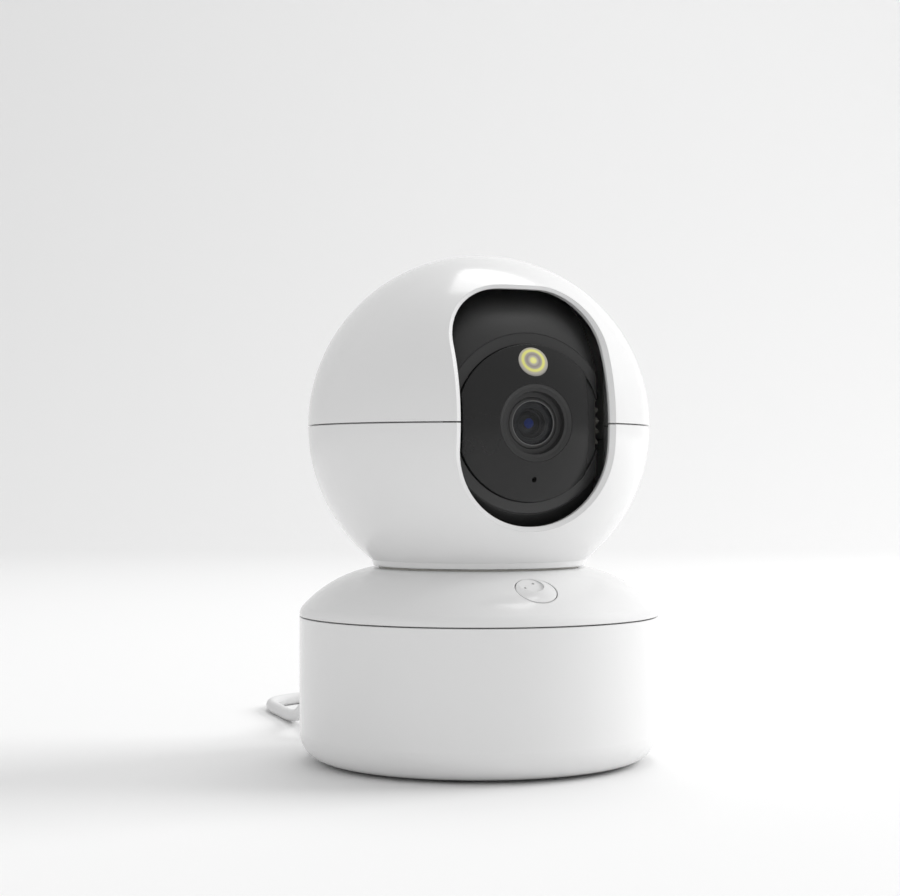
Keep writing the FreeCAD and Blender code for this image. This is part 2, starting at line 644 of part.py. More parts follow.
def base_inner_screws():
    """Screws of the base board, the pan motor and the button board."""
    board_top, motor_top = BOARD_Z + BOARD_T + CONTACT, PAN_MOTOR_TOP + CONTACT
    low = -BUTTON_BOARD_DEEP - THIN_BOARD_T - CONTACT
    made = [screw(4.0, V(x, y, board_top), -Z_AXIS) for x, y in BOARD_SCREWS]
    made += [screw(6.0, V(pan_motor_centre().x, y, motor_top), -Z_AXIS) for y in pan_ear_ys()]
    made += [on_button(small_screw(3.4, V(x, 0, low), Z_AXIS)) for x in (-BUTTON_POST_X, BUTTON_POST_X)]
    return group(made)


def call_switch():
    half, low = SWITCH_SIDE / 2, CONTACT - BUTTON_BOARD_DEEP
    body = block(-half, half, -half, half, low, low + SWITCH_H - 0.5)
    return on_button(fused(body, cyl(1.7, SWITCH_H, V(0, 0, low))))


def call_button():
    """Domed round cap with a shallow off-centre dish, a flange under the cover and a stem down to its switch."""
    stem_end = SWITCH_H + BUTTON_TRAVEL + SLIP - BUTTON_BOARD_DEEP
    flange_top = -COVER_WALL - BUTTON_FLANGE_DROP
    dome = ball(BUTTON_DOME_R, V(0, 0, BUTTON_PROUD - BUTTON_DOME_R))
    crown = dome.common(cyl(BUTTON_R, BUTTON_PROUD - flange_top + 0.5, V(0, 0, flange_top - 0.5)))
    flange = cyl(BUTTON_R + 1.0, 0.9, V(0, 0, flange_top - 0.9))
    cap = fused(crown, flange, cyl(1.8, flange_top - stem_end, V(0, 0, stem_end)))
    cap = cap.cut(cyl(DISH_R, 2, V(DISH_X, DISH_Y, DISH_FLOOR)))
    for x, y in ((-1.6, -0.6), (0.8, 1.0)):
        cap = cap.cut(cyl(DIMPLE_R, 2, V(DISH_X + x, DISH_Y + y, DISH_FLOOR - 0.35)))
    return on_button(cap)


def run_tube(points, radius):
    """A round tube along straight runs joined by tangent arcs, as large as the runs allow."""
    path, radii, here = [], [], points[0]
    for before, at, after in zip(points, points[1:], points[2:]):
        into, out = (at - before), (after - at)
        run = min(into.Length, out.Length)
        into.normalize()
        out.normalize()
        turn = into.getAngle(out)
        back = 0.45 * run
        bend = back / math.tan(turn / 2)
        start, end = at - into * back, at + out * back
        to_centre = (out - into)
        to_centre.normalize()
        middle = at + to_centre * (bend / math.cos(turn / 2) - bend)
        path += [line(here, start), arc(start, middle, end)]
        radii.append(bend)
        here = end
    path.append(line(here, points[-1]))
    wire = Part.Wire(path)
    profile = Part.Wire(Part.makeCircle(radius, points[0], points[1] - points[0]))
    tube = wire.makePipeShell([profile], True, False)
    return tube, radii, wire.Length


def loom(points, radius):
    return run_tube(points, radius)[0]


def base_loom():
    """Wires from the base board, in behind the boss and up the pan axis, where they twist as the head turns."""
    top = BOARD_Z + BOARD_T + 4.0 + CONTACT
    return loom([V(0, 10.4, top), V(0, 10.4, top + 3), V(0, 6.0, top + 6.5), V(0, 0, top + 9.5),
                 V(0, 0, LOOM_TOP_Z)], 1.5)


# ---------------------------------------------------------------- power plug and cord
def power_plug_tip():
    """The metal tongue of the plug, in the socket."""
    half = SOCKET_HALF_W - SOCKET_WALL - 0.05
    return block(-half, half, SOCKET_Y - 4.8, PLUG_Y, PORT_Z - TONGUE_UP, PORT_Z + TONGUE_UP)


def power_plug():
    """Right-angle moulded plug: the cord leaves it sideways through a tapered relief."""
    half_w, half_h = PORT_HALF_W - 2 * GAP, PORT_HALF_H - 0.7
    body = block(-half_w, half_w, PLUG_Y, PLUG_Y + PLUG_LEN, PORT_Z - half_h, PORT_Z + half_h)
    body = body.makeFillet(1.2, [e for e in body.Edges if abs(e.Vertexes[0].Y - e.Vertexes[-1].Y) > 1])
    side = V(-1, 0, 0)
    relief = Part.makeCone(3.0, CORD_D / 2 + 0.45, RELIEF_LEN, V(RELIEF_X, PLUG_EXIT_Y, PORT_Z), side)
    made = fused(body, relief)
    for k in range(3):
        groove = ring(5, CORD_D / 2 + 0.5, 0.6, V(RELIEF_X - 1.4 - 1.5 * k, PLUG_EXIT_Y, PORT_Z), side)
        made = made.cut(groove)
    return made


def coil_point(degrees, height):
    """A point where a cord lies against the coil's outside."""
    reach = COIL_MID_R + COIL_HALF_W + CORD_D / 2 + CONTACT
    return V(COIL_X, COIL_Y, height) + at_angle(reach, degrees)


def lead_route():
    """From the plug's relief, round and down to the floor, straight back, then round to the coil."""
    low = CORD_D / 2 + CONTACT
    behind_base = [(-21.6, 7.4, 10.8), (-24.6, 12.9, 8.8), (-24.7, 21.1, 5.5), (-23.4, 30.4, 2.8),
                   (-22.9, 40.2, low), (-22.4, 50.0, low), (-22.3, 59.6, low), (-20.2, 69.0, low),
                   (-14.0, 76.3, low), (-5.2, 80.0, low), (4.3, 80.1, low), (13.9, 79.4, 1.9)]
    return ([V(RELIEF_X - RELIEF_LEN, PLUG_EXIT_Y, PORT_Z), V(-16.4, PLUG_EXIT_Y, PORT_Z)]
            + [V(x, BASE_R + y, z) for x, y, z in behind_base]
            + [coil_point(COIL_ENTRY_DEG, COIL_Z + CORD_D / 2)])


def tail_route():
    """From the coil straight on to the far plug."""
    return [coil_point(0, COIL_Z + CORD_D / 2), V(USB_X - 0.6, COIL_Y - 6.5, 2.8), V(USB_X, COIL_Y - 13.3, USB_Z),
            V(USB_X, USB_Y, USB_Z)]


def cord_tube(name, route):
    tube, radii, length = run_tube(route, CORD_D / 2)
    section = math.pi * CORD_D ** 2 / 4
    print("%s: length %.1f, bend radii %s, volume / (section x length) %.4f"
          % (name, length, [round(r, 1) for r in radii], tube.Volume / (section * length)))
    return tube


def power_cord():
    return cord_tube("power_cord", lead_route())


def cord_tail():
    return cord_tube("cord_tail", tail_route())


def cord_coil():
    """The outer shape of the coiled cord."""
    return ring(COIL_MID_R + COIL_HALF_W, COIL_MID_R - COIL_HALF_W, COIL_H, V(COIL_X, COIL_Y, COIL_Z))


def cord_tie():
    """Flat strap round the coil's turns."""
    half, top = TIE_W / 2, COIL_Z + COIL_H + 0.05
    x0, x1 = COIL_MID_R - COIL_HALF_W - SLIP, COIL_MID_R + COIL_HALF_W + SLIP
    outer = block(x0 - TIE_T, x1 + TIE_T, -half, half, 0, top + TIE_T)
    strap = outer.cut(block(x0, x1, -half - 1, half + 1, COIL_Z - CONTACT, top))
    strap.rotate(V(0, 0, 0), Z_AXIS, TIE_DEG)
    strap.translate(V(COIL_X, COIL_Y, 0))
    return strap.cut(cord_coil())


def usb_plug():
    neck_y = USB_Y - USB_RELIEF_LEN
    body = block(USB_X - USB_W / 2, USB_X + USB_W / 2, USB_Y - USB_LEN, neck_y, 0, USB_H)
    body = body.makeFillet(1.4, [e for e in body.Edges if abs(e.Vertexes[0].Y - e.Vertexes[-1].Y) > 1])
    relief = Part.makeCone(3.4, CORD_D / 2 + 0.4, USB_RELIEF_LEN, V(USB_X, neck_y, USB_Z), Y_AXIS)
    return fused(body, relief)


def usb_plug_shell():
    """Open-ended metal shell with its plastic tongue space and two latch windows."""
    y1 = USB_Y - USB_LEN
    z0, wall = USB_Z - USB_SHELL_H / 2, 0.35
    x0, x1 = USB_X - USB_SHELL_W / 2, USB_X + USB_SHELL_W / 2
    shell = block(x0, x1, y1 - USB_SHELL_LEN, y1, z0, z0 + USB_SHELL_H)
    shell = shell.cut(block(x0 + wall, x1 - wall, y1 - USB_SHELL_LEN - 1, y1 - 2.0,
                            z0 + USB_SHELL_H / 2, z0 + USB_SHELL_H - wall))
    for x in (USB_X - 3.0, USB_X + 3.0):
        shell = shell.cut(block(x - 1.1, x + 1.1, y1 - 7.5, y1 - 5.2, z0 + USB_SHELL_H - 1, z0 + 9))
    return shell


# ---------------------------------------------------------------- head: shells and frame
def window_prism(y0, y1):
    outline = rounded_outline(WINDOW_HALF, WINDOW_TOP, WINDOW_BOTTOM, WINDOW_TOP_R, WINDOW_BOTTOM_R, y0)
    return Part.Face(outline).extrude(V(0, y1 - y0, 0))


def head_skin():
    """The whole ball-shaped skin with its neck, before it is split at the seam."""
    drop = NECK_DROP
    neck = lathe_points([(0, -drop), (NECK_R, -drop), (NECK_R + 0.6, -drop + 2.0), (NECK_R - 2, -drop + 6),
                         (0, -drop + 6)])
    outer = ball(HEAD_R).common(cyl(HEAD_R + 1, 2 * HEAD_R, V(0, 0, -drop))).fuse(neck)
    inner = ball(HEAD_INNER_R).common(cyl(HEAD_R + 1, 2 * HEAD_R, V(0, 0, -drop + HEAD_WALL)))
    skin = outer.cut(inner).removeSplitter()
    skin = skin.cut(window_prism(-HEAD_R - 5, -10))
    near, room = 0.01, skin_room()
    rim = [e for e in skin.Edges if all(abs(v.Point.Length - HEAD_R) < near for v in e.Vertexes)
           and room.isInside(e.BoundBox)]
    return skin.makeChamfer(WINDOW_BEVEL, rim)


def skin_room():
    """The box that the window's rim lies in, with half a millimetre to spare."""
    half, spare = WINDOW_HALF + 0.5, 0.5
    return FreeCAD.BoundBox(-half, -HEAD_R - 1, WINDOW_BOTTOM - spare, half, -8, WINDOW_TOP + spare)


def head_posts(z0, z1, radius):
    return [cyl(radius, z1 - z0, V(x, y, z0))
            for x in (-HEAD_POST_X, HEAD_POST_X) for y in (-HEAD_POST_Y, HEAD_POST_Y)]


def skin_band(outer, inner, z0, z1):
    """The part of a thick spherical skin between two heights."""
    return ball(outer).cut(ball(inner)).common(cyl(HEAD_R + 5, z1 - z0, V(0, 0, z0)))


def head_shell_lower():
    """Lower bowl: its neck carries the hollow hub that the head turns on."""
    bowl = SKIN.common(cyl(HEAD_R + 2, HEAD_R + 5, V(0, 0, -HEAD_R - 5 - SEAM / 2)))
    hub_z = -NECK_DROP - HUB_DEPTH
    made = fused(bowl, cyl(HUB_R, HUB_DEPTH + HEAD_WALL, V(0, 0, hub_z)))
    made = made.cut(cyl(HUB_BORE, HUB_DEPTH + HEAD_WALL + 4, V(0, 0, hub_z - 1)))
    side = BALL_HALF + 1
    swept = ball(BALL_CLEAR_R).common(block(-side, side, -HEAD_R, HEAD_R, -HEAD_R, HEAD_R))
    made = made.cut(swept)
    skin_r = HEAD_INNER_R + HEAD_WALL / 2
    floor = HEAD_WALL / 2 - NECK_DROP
    posts = head_posts(floor, -SEAM / 2 - CONTACT, STAND_R)
    pads = [cyl(3.2, FOOT_Z - CONTACT - floor, V(x, y, floor)) for x, y in bracket_feet()]
    inner_lip = HEAD_INNER_R - LIP_T
    lip = skin_band(skin_r, inner_lip, -2.5, -SEAM / 2)
    lip = lip.fuse(skin_band(HEAD_INNER_R - SLIP, inner_lip, -SEAM / 2, 2.0))
    beside_window = WINDOW_HALF + 3.0
    lip = lip.cut(block(-beside_window, beside_window, -HEAD_R, 0, -5, 5))
    made = fused(made, lip, *[p.common(ball(skin_r)) for p in posts + pads])
    for x, y in bracket_feet():
        made = made.cut(screw_hole(5, V(x, y, FOOT_Z + 1), -Z_AXIS))
    for a in HUB_SCREW_DEGS:
        made = made.cut(screw_hole(6, at_angle(HUB_SCREW_AT, a, hub_z - 0.5), Z_AXIS, SMALL_R))
    for hole in head_posts(-5.0, 0.0, PEG_R + SLIP):
        made = made.cut(hole)
    return made


def head_shell_upper():
    """Upper dome, located by four pegs."""
    dome = SKIN.common(cyl(HEAD_R + 2, HEAD_R + 5, V(0, 0, SEAM / 2)))
    inside = ball(HEAD_INNER_R + HEAD_WALL / 2)
    posts = [post.common(inside) for post in head_posts(SEAM / 2 + CONTACT, HEAD_R, STAND_R)]
    return fused(dome, *posts, *head_posts(-4.0, SEAM / 2 + 1.0, PEG_R))


def bracket_feet():
    return [(side * (BRACKET_X + 5.0), y) for side in (-1, 1) for y in (-6.0, 6.0)]


def bracket(side):
    """Side bracket: an upright plate with the tilt bush in it, on a foot screwed to the lower shell."""
    x0, x1 = sorted((side * BRACKET_X, side * (BRACKET_X + BRACKET_T)))
    f0, f1 = sorted((side * BRACKET_X, side * (BRACKET_X + FOOT_LEN)))
    plate = block(x0, x1, -BRACKET_HALF, BRACKET_HALF, FOOT_Z, 0)
    plate = plate.fuse(cyl(BRACKET_HALF, BRACKET_T, V(x0, 0, 0), X_AXIS))
    made = plate.fuse(block(f0, f1, -BRACKET_HALF - 1, BRACKET_HALF + 1, FOOT_Z, FOOT_Z + BRACKET_T))
    if side > 0:
        (y, z), shaft = tilt_motor_yz(), tilt_shaft_yz()
        made = made.fuse(cyl(TILT_MOTOR_R + 1.0, BRACKET_T, V(x0, y, z), X_AXIS))
        made = made.fuse(block(x0, x1, 0, y, z - BRACKET_HALF, z + BRACKET_HALF))
        for ear_y, ear_z in tilt_ears():
            made = made.fuse(cyl(2.6, BRACKET_T, V(x0, ear_y, ear_z), X_AXIS))
            made = made.cut(screw_hole(10, V(x0 - 1, ear_y, ear_z), X_AXIS, SMALL_R))
        made = made.cut(cyl(SHAFT_R + 1.5, 10, V(x0 - 1, shaft[0], shaft[1]), X_AXIS))
        made = made.common(ball(HEAD_INNER_R - LIP_T - GAP))
    else:
        standoff = MAIN_BOARD_X - BRACKET_X - BRACKET_T - CONTACT
        made = made.fuse(block(x0, x1, -4, 4, 0, MAIN_BOARD_POSTS[-1][1] + 2.5))
        for y, z in MAIN_BOARD_POSTS:
            made = made.fuse(cyl(2.2, standoff, V(x0, y, z), V(-1, 0, 0)))
            made = made.cut(screw_hole(12, V(-MAIN_BOARD_X - 1, y, z), X_AXIS, SMALL_R))
    made = made.cut(cyl(BUSH_R, 10, V(x0 - 1, 0, 0), X_AXIS))
    for x, y in bracket_feet():
        made = made.cut(screw_hole(5, V(x, y, FOOT_Z - 1), Z_AXIS))
    return made.removeSplitter()


def bracket_left():
    return bracket(-1)


def bracket_right():
    return bracket(1)


def tilt_bushes():
    made = []
    for side in (-1, 1):
        x0 = min(side * (BRACKET_X - 0.4), side * (BRACKET_X + BRACKET_T + 0.2))
        made.append(ring(BUSH_R, AXLE_R + RUN, BRACKET_T + 0.6, V(x0, 0, 0), X_AXIS))
    return group(made)


def tilt_shaft_yz():
    a = math.radians(TILT_MOTOR_DEG)
    return TILT_CENTRES * math.cos(a), TILT_CENTRES * math.sin(a)


def tilt_motor_yz():
    y, z = tilt_shaft_yz()
    return y + TILT_MOTOR_BACK, z


def tilt_ears():
    y, z = tilt_motor_yz()
    offsets = [at_angle(TILT_MOTOR_R + 2.2, a) for a in (75, 255)]
    return [(y + off.x, z + off.y) for off in offsets]


def tilt_motor():
    y, z = tilt_motor_yz()
    x1 = BRACKET_X - CONTACT
    can = cyl(TILT_MOTOR_R, TILT_MOTOR_L, V(x1 - TILT_MOTOR_L, y, z), X_AXIS)
    ears = [cyl(STAND_R, EAR_T, V(x1 - EAR_T, ear_y, ear_z), X_AXIS) for ear_y, ear_z in tilt_ears()]
    made = fused(can, *ears)
    shaft_y, shaft_z = tilt_shaft_yz()
    made = made.cut(cyl(SHAFT_R + RUN, 6, V(x1 - 5, shaft_y, shaft_z), X_AXIS))
    for ear_y, ear_z in tilt_ears():
        made = made.cut(screw_hole(6, V(x1 - 5, ear_y, ear_z), X_AXIS, SMALL_R))
    return made


def tilt_motor_shaft():
    y, z = tilt_shaft_yz()
    return cyl(SHAFT_R, GEAR_X + TILT_GEAR_T - BRACKET_X + 4.5, V(BRACKET_X - 4.0, y, z), X_AXIS)


def upright_gear(teeth, tooth_deg):
    """A gear whose axis is +X. Angles are measured from +Y towards +Z."""
    made = gear(teeth, TILT_GEAR_T, tooth_deg)
    made.Placement = FreeCAD.Placement(V(GEAR_X, 0, 0), FreeCAD.Rotation(Y_AXIS, Z_AXIS, X_AXIS, "ZXY"))
    return made


def tilt_pinion():
    y, z = tilt_shaft_yz()
    made = upright_gear(PINION_TEETH, TILT_MOTOR_DEG + 180 + 180 / PINION_TEETH)
    made.translate(V(0, y, z))
    return made.cut(cyl(SHAFT_R, 20, V(GEAR_X - 5, y, z), X_AXIS))


def pan_gear():
    made = gear(PAN_TEETH, GEAR_T, PAN_MOTOR_DEG)
    made = made.cut(cyl(13.0, GEAR_T + 2, V(0, 0, -1)))
    made.translate(V(0, 0, PAN_GEAR_Z - CONTACT))
    for a in HUB_SCREW_DEGS:
        made = made.cut(screw_hole(8, at_angle(HUB_SCREW_AT, a, PAN_GEAR_Z - 1), Z_AXIS, SMALL_R))
    return made


def pan_gear_screws():
    z = PAN_GEAR_Z - 2 * CONTACT
    return group([small_screw(8.0, at_angle(HUB_SCREW_AT, a, z), Z_AXIS) for a in HUB_SCREW_DEGS])


def head_inner_screws():
    """Screws of the brackets' feet, the tilt motor and the main board."""
    foot_top = FOOT_Z + BRACKET_T + CONTACT
    motor_x = BRACKET_X - 2 * CONTACT - EAR_T
    board_x = -MAIN_BOARD_X - BOARD_T - CONTACT
    made = [screw(4.6, V(x, y, foot_top), -Z_AXIS) for x, y in bracket_feet()]
    made += [small_screw(2.8, V(motor_x, y, z), X_AXIS) for y, z in tilt_ears()]
    made += [small_screw(4.0, V(board_x, y, z), X_AXIS) for y, z in MAIN_BOARD_POSTS]
    return group(made)


def main_board():
    x1, x0 = -MAIN_BOARD_X, -MAIN_BOARD_X - BOARD_T
    board = block(x0, x1, -16.0, 18.0, -19.0, 14.0)
    for y, z in MAIN_BOARD_POSTS:
        board = board.cut(screw_hole(6, V(x0 - 1, y, z), X_AXIS, SMALL_R))
    lens_socket = block(x1, x1 + 1.4, -3.0, 3.0, -2.4, 2.4)
    base_socket = block(x1, x1 + 2.4, 13.0, 17.5, -17.0, -11.0)
    memory = block(x0 - 1.0, x0, -4.0, 4.0, -18.0, -9.0)
    return fused(board, lens_socket, base_socket, memory)


def shield_can():
    x0, wall = -MAIN_BOARD_X - BOARD_T - CONTACT, 0.3
    can = block(x0 - 2.2, x0, -SHIELD_HALF_Y, SHIELD_HALF_Y, -8.0, 9.0)
    inside = SHIELD_HALF_Y - wall
    return can.cut(block(x0 - 2.2 + wall, x0 + 1, -inside, inside, -8.0 + wall, 9.0 - wall))


def wifi_antenna():
    """Thin flexible aerial stuck inside the back of the upper shell."""
    band = skin_band(HEAD_INNER_R - CONTACT, HEAD_INNER_R - 0.5, 12, 19)
    return band.common(block(-14, 14, 20, HEAD_R, 10, 20))


def head_loom():
    """Wires from the pan axis round behind the lens ball to the main board."""
    low = LOOM_TOP_Z + CONTACT - HEAD_Z
    x = -MAIN_BOARD_X + 2.4 + CONTACT
    route = [V(0, 0, low), V(0, 0, low + 4), V(-0.3, 5.0, low + 9), V(-1.5, 11.0, low + 15),
             V(-4.5, 16.5, low + 21.5), V(-9.0, 20.5, low + 27), V(-14.0, 19.0, low + 31.5),
             V(x + 3.0, 15.2, -14.0), V(x, 15.2, -14.0)]
    return loom(route, 1.4)


# ---------------------------------------------------------------- lens ball
def ball_section():
    """Side view of the lens ball: skin arc in front, cut back at top and bottom, flat back."""
    def on(degrees):
        a = math.radians(degrees)
        return V(0, -BALL_R * math.cos(a), BALL_R * math.sin(a))
    top, front, bottom = on(BALL_TOP_DEG), on(0), on(BALL_BOTTOM_DEG)
    back_top, back_bottom = V(0, BALL_BACK, BALL_BACK_HALF), V(0, BALL_BACK, -BALL_BACK_HALF)
    return Part.Wire([arc(bottom, front, top), line(top, back_top), line(back_top, back_bottom),
                      line(back_bottom, bottom)])


def ball_block(half):
    made = Part.Face(ball_section()).extrude(V(2 * half, 0, 0))
    made.translate(V(-half, 0, 0))
    return made


def ball_hollow():
    """The room inside the ball: its outer form, moved in by the wall from every side."""
    inner = ball_block(BALL_HALF - BALL_WALL).common(ball(BALL_R - BALL_WALL))
    for way in (V(0, -1, 0), V(0, -0.5, -1.0), V(0, -0.5, 1.0)):
        inner = inner.common(ball_block(BALL_HALF).translated(way * BALL_WALL))
    return inner


def front_disc(radius, v0, v1):
    """A cylinder round the lens axis between two distances ahead of the tilt axis."""
    return cyl(radius, v1 - v0, V(0, -v0, 0), V(0, -1, 0))


def radial(degrees):
    a = math.radians(degrees)
    return V(0, -math.cos(a), math.sin(a))


def spot_direction():
    return radial(math.degrees(math.asin(SPOT_Z / FACE_R)))


def card_frame(shape):
    """Places a shape drawn along +Z, wide in X, in the direction of the card slot."""
    direction = radial(CARD_DEG)
    made = shape.copy()
    turn = FreeCAD.Rotation(X_AXIS, direction.cross(X_AXIS), direction, "ZXY")
    made.Placement = FreeCAD.Placement(V(0, 0, 0), turn).multiply(shape.Placement)
    return made


def ball_shell():
    """Skin of the lens ball with the flat panel in front that carries the face."""
    outer = ball_block(BALL_HALF)
    panel = front_disc(RING_R + 1.5, PANEL_BACK, PANEL_V).common(outer).common(ball(BALL_R - 0.5))
    shell = fused(outer.common(ball(BALL_R)).cut(ball_hollow()), panel)
    back_half, side = BALL_BACK_HALF - BACK_LEDGE, BALL_HALF - BALL_WALL
    shell = shell.cut(block(-side, side, BALL_BACK - BALL_WALL - 0.1, BALL_BACK + 1, -back_half, back_half))
    shell = shell.cut(front_disc(RING_R, PANEL_V, BALL_R + 2))
    for radius, height in ((BARREL_R + 0.3, 0), (SPOT_BOARD_R + 0.9, SPOT_Z - 0.3), (MIC_R + SLIP, MIC_Z)):
        shell = shell.cut(front_disc(radius, PANEL_BACK - 4, PANEL_V + 2).translated(V(0, 0, height)))
    slot_half, slot_up = CARD_HALF + 0.3, CARD_T / 2 + 0.25
    slot = block(CARD_SHIFT - slot_half, CARD_SHIFT + slot_half, -slot_up, slot_up, BALL_R - 5, BALL_R + 2)
    shell = shell.cut(card_frame(slot))
    shell = shell.cut(card_frame(cyl(RESET_R + 0.15, 8, V(RESET_X, 0, BALL_R - 6))))
    shell = shell.cut(cyl(AXLE_R, 2 * BALL_HALF + 4, V(-BALL_HALF - 2, 0, 0), X_AXIS))
    for x, z in SENSOR_SCREWS:
        shell = shell.fuse(cyl(2.0, PANEL_BACK - SENSOR_V - CONTACT + 0.5, V(x, -PANEL_BACK - 0.5, z), Y_AXIS))
        shell = shell.cut(screw_hole(6, V(x, -SENSOR_V - 5.5, z), Y_AXIS, SMALL_R))
    return shell.removeSplitter()


def ball_rear_cover():
    side, back_half = BALL_HALF - BALL_WALL - SLIP, BALL_BACK_HALF - BACK_LEDGE - SLIP
    plate = block(-side, side, BALL_BACK - BALL_WALL, BALL_BACK - CONTACT, -back_half, back_half)
    for k in range(4):
        plate = plate.cut(block(-7, 7, 0, 10, 8.0 + 3.0 * k, 9.2 + 3.0 * k))
    return plate


def face_outline(inset, v0, v1):
    """A slice across the face, moved in from the face's round edge and its two flats."""
    left, right = BALL_HALF - FACE_LEFT_EDGE - inset, FACE_RIGHT - inset
    return front_disc(FACE_EDGE_R - inset, v0, v1).common(block(-left, right, -HEAD_R, 0, -HEAD_R, HEAD_R))


def face_plate():
    """Glossy front: a piece of a sphere with two flats, on a thin skirt."""
    v0 = PANEL_V + CONTACT
    solid = face_outline(0, v0, FACE_R + 1).common(ball(FACE_R))
    hollow = face_outline(FACE_WALL - 0.2, v0 - 1, FACE_R + 1).common(ball(FACE_R - FACE_WALL))
    made = solid.cut(hollow)
    made = made.cut(front_disc(BEZEL_R + SLIP / 2, 20, FACE_R + 2))
    spot = spot_direction()
    made = made.cut(cyl(SPOT_R + SLIP / 2, 12, spot * (FACE_R - 6), spot))
    made = made.cut(front_disc(MIC_HOLE_R, 20, FACE_R + 2).translated(V(0, 0, MIC_Z)))
    return made


def trim_ring():
    """Flat-topped ring round the face, cut off at the ball's flat sides, with a thin floor right of the face."""
    low, outer_v = PANEL_V + CONTACT, math.sqrt(BALL_R ** 2 - RING_R ** 2)
    inner, outer = FACE_EDGE_R + SLIP, RING_R - SLIP / 2
    profile = [(inner, low), (outer, low), (outer, outer_v), (inner, outer_v + 0.5)]
    rim = aimed(lathe_points(profile), V(0, -1, 0), V(0, 0, 0))
    floor = front_disc(outer, low, low + 0.6)
    floor = floor.cut(face_outline(-SLIP, low - 1, low + 2))
    sides = block(-BALL_HALF, BALL_HALF, -HEAD_R, 0, -HEAD_R, HEAD_R)
    right = block(0, BALL_HALF, -HEAD_R, 0, -HEAD_R, HEAD_R)
    return fused(rim.common(sides), floor.common(right))


def lens_bezel():
    """Ring in the face that holds the recess round the lens."""
    back, floor, outer = PANEL_V + CONTACT, BEZEL_FRONT - BEZEL_DEPTH, BEZEL_R - CONTACT
    profile = [(BARREL_R + SLIP, back), (outer, back), (outer, BEZEL_FRONT - 0.35),
               (outer - 0.4, BEZEL_FRONT), (BEZEL_RECESS_R, BEZEL_FRONT), (BEZEL_RECESS_R - 0.25, floor),
               (BARREL_R + SLIP, floor)]
    return aimed(lathe_points(profile), V(0, -1, 0), V(0, 0, 0))


def lens_barrel():
    """Stepped barrel with a thin lip round the front lens."""
    front = BEZEL_FRONT - BEZEL_DEPTH
    seat, back, step = front - LENS_SEAT, 12.0, 17.5
    bore, tail, lip_top = 3.2, BARREL_R - 0.9, front + 0.25
    profile = [(bore, back), (tail, back), (tail, step), (BARREL_R, step), (BARREL_R, front),
               (LENS_R + 0.35, lip_top), (LENS_R + CONTACT, lip_top), (LENS_R + CONTACT, seat), (bore, seat)]
    return aimed(lathe_points(profile), V(0, -1, 0), V(0, 0, 0))


def front_lens():
    seat = BEZEL_FRONT - BEZEL_DEPTH - LENS_SEAT + CONTACT
    rim = seat + LENS_SEAT - 0.1
    radius = (LENS_R ** 2 + LENS_RISE ** 2) / (2 * LENS_RISE)
    dome = ball(radius, V(0, radius - rim - LENS_RISE, 0))
    dome = dome.common(front_disc(LENS_R, rim - 0.01, rim + LENS_RISE + 1))
    return fused(dome, front_disc(LENS_R, seat, rim))


def lens_holder():
    back, shoulder = SENSOR_V + CONTACT, 17.3
    body = block(-HOLDER_HALF, HOLDER_HALF, -shoulder, -back, -HOLDER_HALF, HOLDER_HALF)
    made = fused(body, front_disc(BARREL_R + 1.3, shoulder - 0.5, shoulder + 5.0))
    made = made.cut(front_disc(BARREL_R + SLIP / 2, shoulder, shoulder + 10))
    made = made.cut(front_disc(BARREL_R - 0.85, 11.5, shoulder + 1))
    return made.cut(block(-4.6, 4.6, -11.6, 0, -4.6, 4.6))


def image_sensor():
    return block(-3.6, 3.6, -SENSOR_V - 1.1, -SENSOR_V - CONTACT, -3.2, 3.2)


def sensor_board():
    half = BALL_HALF - BOARD_SIDE
    board = block(-half, half, -SENSOR_V, -SENSOR_V + THIN_BOARD_T, -12.0, 12.0)
    for x, z in SENSOR_SCREWS:
        board = board.cut(screw_hole(6, V(x, -SENSOR_V - 2, z), Y_AXIS, SMALL_R))
    socket_y = -SENSOR_V + THIN_BOARD_T
    return fused(board, block(-8.0, -3.0, socket_y, socket_y + LENS_SOCKET_T, -2.5, 2.5))


def sensor_board_screws():
    y = -SENSOR_V + THIN_BOARD_T + CONTACT
    return group([small_screw(4.6, V(x, y, z), V(0, -1, 0)) for x, z in SENSOR_SCREWS])


def spotlight_lens():
    """Clear disc over the lamp, flush with the face, on a collar that stands on the lamp's board."""
    spot = spot_direction()
    back = FACE_R - FACE_WALL - 0.5
    disc = cyl(SPOT_R, 6, spot * back, spot).common(ball(FACE_R))
    board_face = SPOT_BOARD_AT + SPOT_BOARD_T + CONTACT
    return fused(disc, ring(SPOT_BOARD_R - 0.3, 1.8, back - board_face + 0.2, spot * board_face, spot))


def spotlight_board():
    """Lamp on its small round board, behind the spotlight lens."""
    spot = spot_direction()
    board = cyl(SPOT_BOARD_R, SPOT_BOARD_T, spot * SPOT_BOARD_AT, spot)
    return fused(board, cyl(1.5, 0.8, spot * (SPOT_BOARD_AT + SPOT_BOARD_T), spot))


def microphone():
    """Small can in the panel behind the sound hole."""
    return front_disc(MIC_R, PANEL_BACK, PANEL_V + 1.8).translated(V(0, 0, MIC_Z))


def card_slot():
    """Memory card cage just under the skin, open to the slot."""
    mouth = BALL_R - BALL_WALL - 1.3
    x0, x1 = CARD_SHIFT - CARD_HALF, CARD_SHIFT + CARD_HALF
    cage = block(x0, x1, -CARD_T / 2, CARD_T / 2, mouth - CARD_DEEP, mouth)
    return card_frame(cage.cut(block(x0 + 0.4, x1 - 0.4, -0.45, 0.45, mouth - CARD_DEEP + 1, mouth + 1)))


